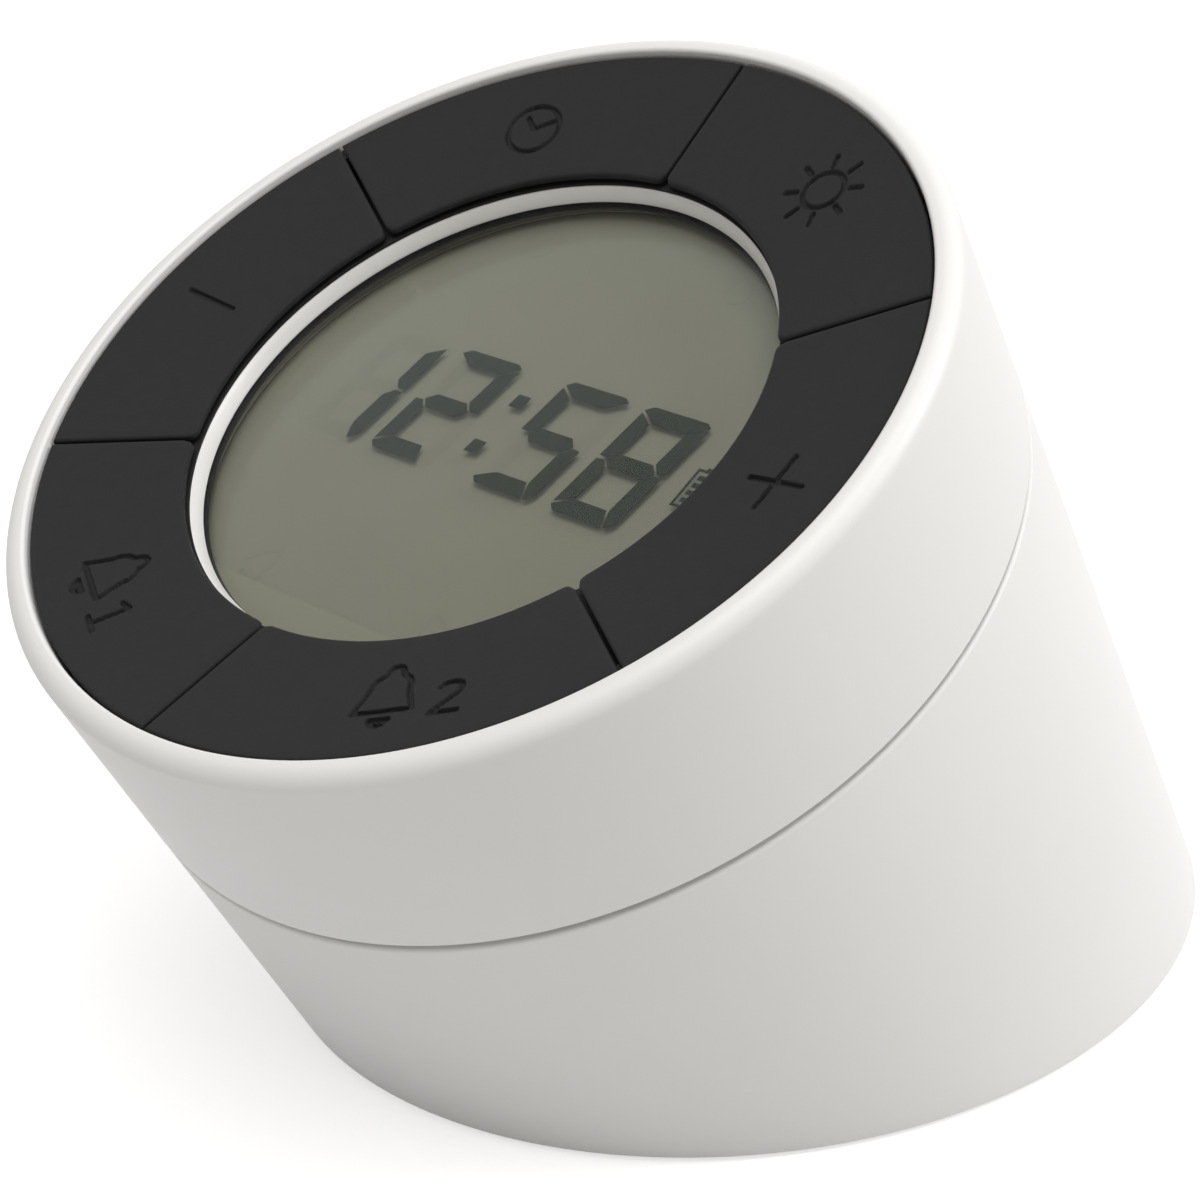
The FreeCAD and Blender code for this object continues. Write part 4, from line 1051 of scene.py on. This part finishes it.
DOWNWARD = Matrix.Rotation(radians(180), 4, "X")
CHARGER = FACE @ Matrix.Translation((0, 36.4, -82.0)) @ Matrix.Rotation(radians(-90), 4, "X")
PILLARS = [around(36.0, a) for a in PILLAR_ANGLES]
SCREWS = {
    "frame_screws": ([(x, -v, 6.0) for x, v in BOSSES], 6.75, FACE @ DOWNWARD),
    "board_screws": ([(*spot, -13.0) for spot in PILLARS], 4.55, FACE),
    "joint_screws": ([(*spot, WEB_UNDER) for spot in BOSSES], 7.95, FACE),
    "lamp_screws": ([(*spot, -29.6) for spot in LAMP_PILLARS], 3.55, FACE),
    "charger_screws": ([(x, 0, 0) for x in RAILS], 5.55, CHARGER),
    "base_screws": ([(*spot, 2.4) for spot in SCREW_SPOTS], 7.05, TABLE),
}
for name, (spots, length, place) in SCREWS.items():
    sizes = {"Head Radius": 1.9, "Head Height": 1.4, "Shank Radius": 1.0, "Shank Length": length}
    settle(grown(f"cross_{name}", spots, screws, sizes, place), "clock_body", "screw_steel", [name])

# %% [markdown]
# The lamps under the web sit on a circle, each a pale body with a yellow lens. The charging
# socket holds a tongue with a row of contacts. Both rows come from the same kind of tree.

# %% Lamp lenses and socket contacts
lamps = Tree("lamp_lenses", ["Lens Radius", "Lens Height"])
lens_finish = moulded("yellow_lamp_lens", (0.75, 0.55, 0.09), 0.3, 0.2, 0.004, 0.06)
lamps.finish(lamps.cylinder(24, *lamps.sizes), lens_finish)
LAMP_SPOTS = [(*around(31.0, 22.5 + 45 * index), -30.53) for index in range(8)]
lenses = grown("lamp_lenses", LAMP_SPOTS, lamps, {"Lens Radius": 1.2, "Lens Height": 0.05})
settle(lenses, "clock_body", "lamp_white", finish=lens_finish)

contacts = Tree("socket_contacts", ["Contact Width", "Contact Length", "Contact Height"])
contacts.finish(contacts.block(*contacts.sizes), FINISHES["contact_metal"])
CONTACT_SPOTS = [(-2.75 + 0.5 * index, 43.6, -SOCKET_DEPTH + side * 0.37)
                 for index in range(12) for side in (-1, 1)]
row = grown("socket_contacts", CONTACT_SPOTS, contacts,
            {"Contact Width": 0.26, "Contact Length": 4.0, "Contact Height": 0.06})
settle(row, "clock_body", "contact_metal")
TONGUE_HALF = 0.34
tongue_form = bar(0, 43.4, 6.4, 5.0, -SOCKET_DEPTH - TONGUE_HALF, -SOCKET_DEPTH + TONGUE_HALF)
tongue = mesh_piece("socket_tongue", *tongue_form)
shade(tongue)
settle(tongue, "clock_body", "contact_metal", finish=FINISHES["dark_plastic"])

# %% [markdown]
# ## The table, the light and the camera
#
# The photograph has a plain white ground. Soft light comes from above and from a window
# behind and to the right, so the rim is bright and the front lies in a mild, warmer shade.
# A large pale table keeps the clock's shadow. It looks white because a little light is
# added there for camera, glossy and transmission rays only, and so does the room.

# %% Table and backdrop light
def when_seen(nodes):
    """1 for camera, glossy and transmission rays, 0 for the rays that light the clock."""
    kinds = ("Is Camera Ray", "Is Glossy Ray", "Is Transmission Ray")
    camera, glossy, through = [nodes.node("ShaderNodeLightPath", output=kind) for kind in kinds]
    return camera + glossy + through


def ground_finish():
    finish = Finish("pale_table", {"Roughness": 0.9, "Specular IOR Level": 0.1})
    fibre = finish.noise(finish.place(), 1.2, 4.0)
    finish.give({"Base Color": finish.blend((0.66, 0.66, 0.66), (0.70, 0.70, 0.70), fibre),
                 "Normal": finish.relief(fibre, 0.02)})
    plain = Value(finish, finish.surface.outputs["BSDF"])
    glow = finish.node("ShaderNodeEmission", None, {"Color": (1, 1, 1, 1), "Strength": 0.62})
    glowing = finish.node("ShaderNodeAddShader", None, {0: plain, 1: glow})
    choice = finish.node("ShaderNodeMixShader", None,
                         {"Fac": when_seen(finish), 1: plain, 2: glowing})
    finish.feed(finish.tree.nodes["Material Output"].inputs["Surface"], choice)
    return finish.material


TABLE_HALF = 4000
table_outline = block(-TABLE_HALF, -TABLE_HALF, TABLE_HALF, TABLE_HALF)
table = mesh_piece("table", [(x, y, 0) for x, y in table_outline], [(0, 1, 2, 3)], TABLE)
table.data.materials.append(ground_finish())

world = bpy.data.worlds.new("soft_room")
bpy.context.scene.world = world
world.use_nodes = True
room = Nodes(world.node_tree)
room.tree.nodes.remove(room.tree.nodes["Background"])
fill, white = [room.node("ShaderNodeBackground", None, {"Color": colour, "Strength": strength})
               for colour, strength in (((1.0, 0.95, 0.895, 1.0), 0.325), ((1, 1, 1, 1), 1.0))]
choice = room.node("ShaderNodeMixShader", None, {"Fac": when_seen(room), 1: fill, 2: white})
room.feed(room.tree.nodes["World Output"].inputs["Surface"], choice)


# %% Lamps
def soft_lamp(name, spot, size, power):
    data = bpy.data.lights.new(name, "AREA")
    data.shape = "DISK"
    data.size = size
    data.energy = power
    lamp = bpy.data.objects.new(name, data)
    bpy.context.scene.collection.objects.link(lamp)
    lamp.location = spot
    aim = Vector((0, -0.01, 0.05)) - Vector(spot)
    lamp.rotation_euler = aim.to_track_quat("-Z", "Y").to_euler()


soft_lamp("window_light", (0.6, 0.5, 0.6), 0.5, 3.7)
soft_lamp("ceiling_light", (0.2, -0.2, 0.95), 0.8, 5.7)

# %% [markdown]
# The camera's place, aim and long lens were found from the ovals of the key ring, the
# slits between the keys, the parting line and the foot. It is rolled a little.

# %% Camera
CAMERA_SPOT = Vector((175.37, -199.76, 155.92)) * MM
FORWARD = Vector((-0.64083, 0.64778, -0.41198)).normalized()
ROLL = radians(1.319)
level_right = FORWARD.cross(Vector((0, 0, 1))).normalized()
level_up = level_right.cross(FORWARD)
camera_up = level_up * cos(ROLL) + level_right * sin(ROLL)
camera_right = FORWARD.cross(camera_up)
lens = bpy.data.cameras.new("camera")
lens.sensor_width = 36.0
lens.lens = 81.572
lens.clip_start = 0.01
camera = bpy.data.objects.new("camera", lens)
bpy.context.scene.collection.objects.link(camera)
turn = Matrix((camera_right, camera_up, -FORWARD)).transposed().to_4x4()
camera.matrix_world = Matrix.Translation(CAMERA_SPOT) @ turn
bpy.context.scene.camera = camera
bpy.context.scene.view_settings.view_transform = "Standard"
print("camera", round(CAMERA_SPOT.length / MM), "mm from the middle of the foot")
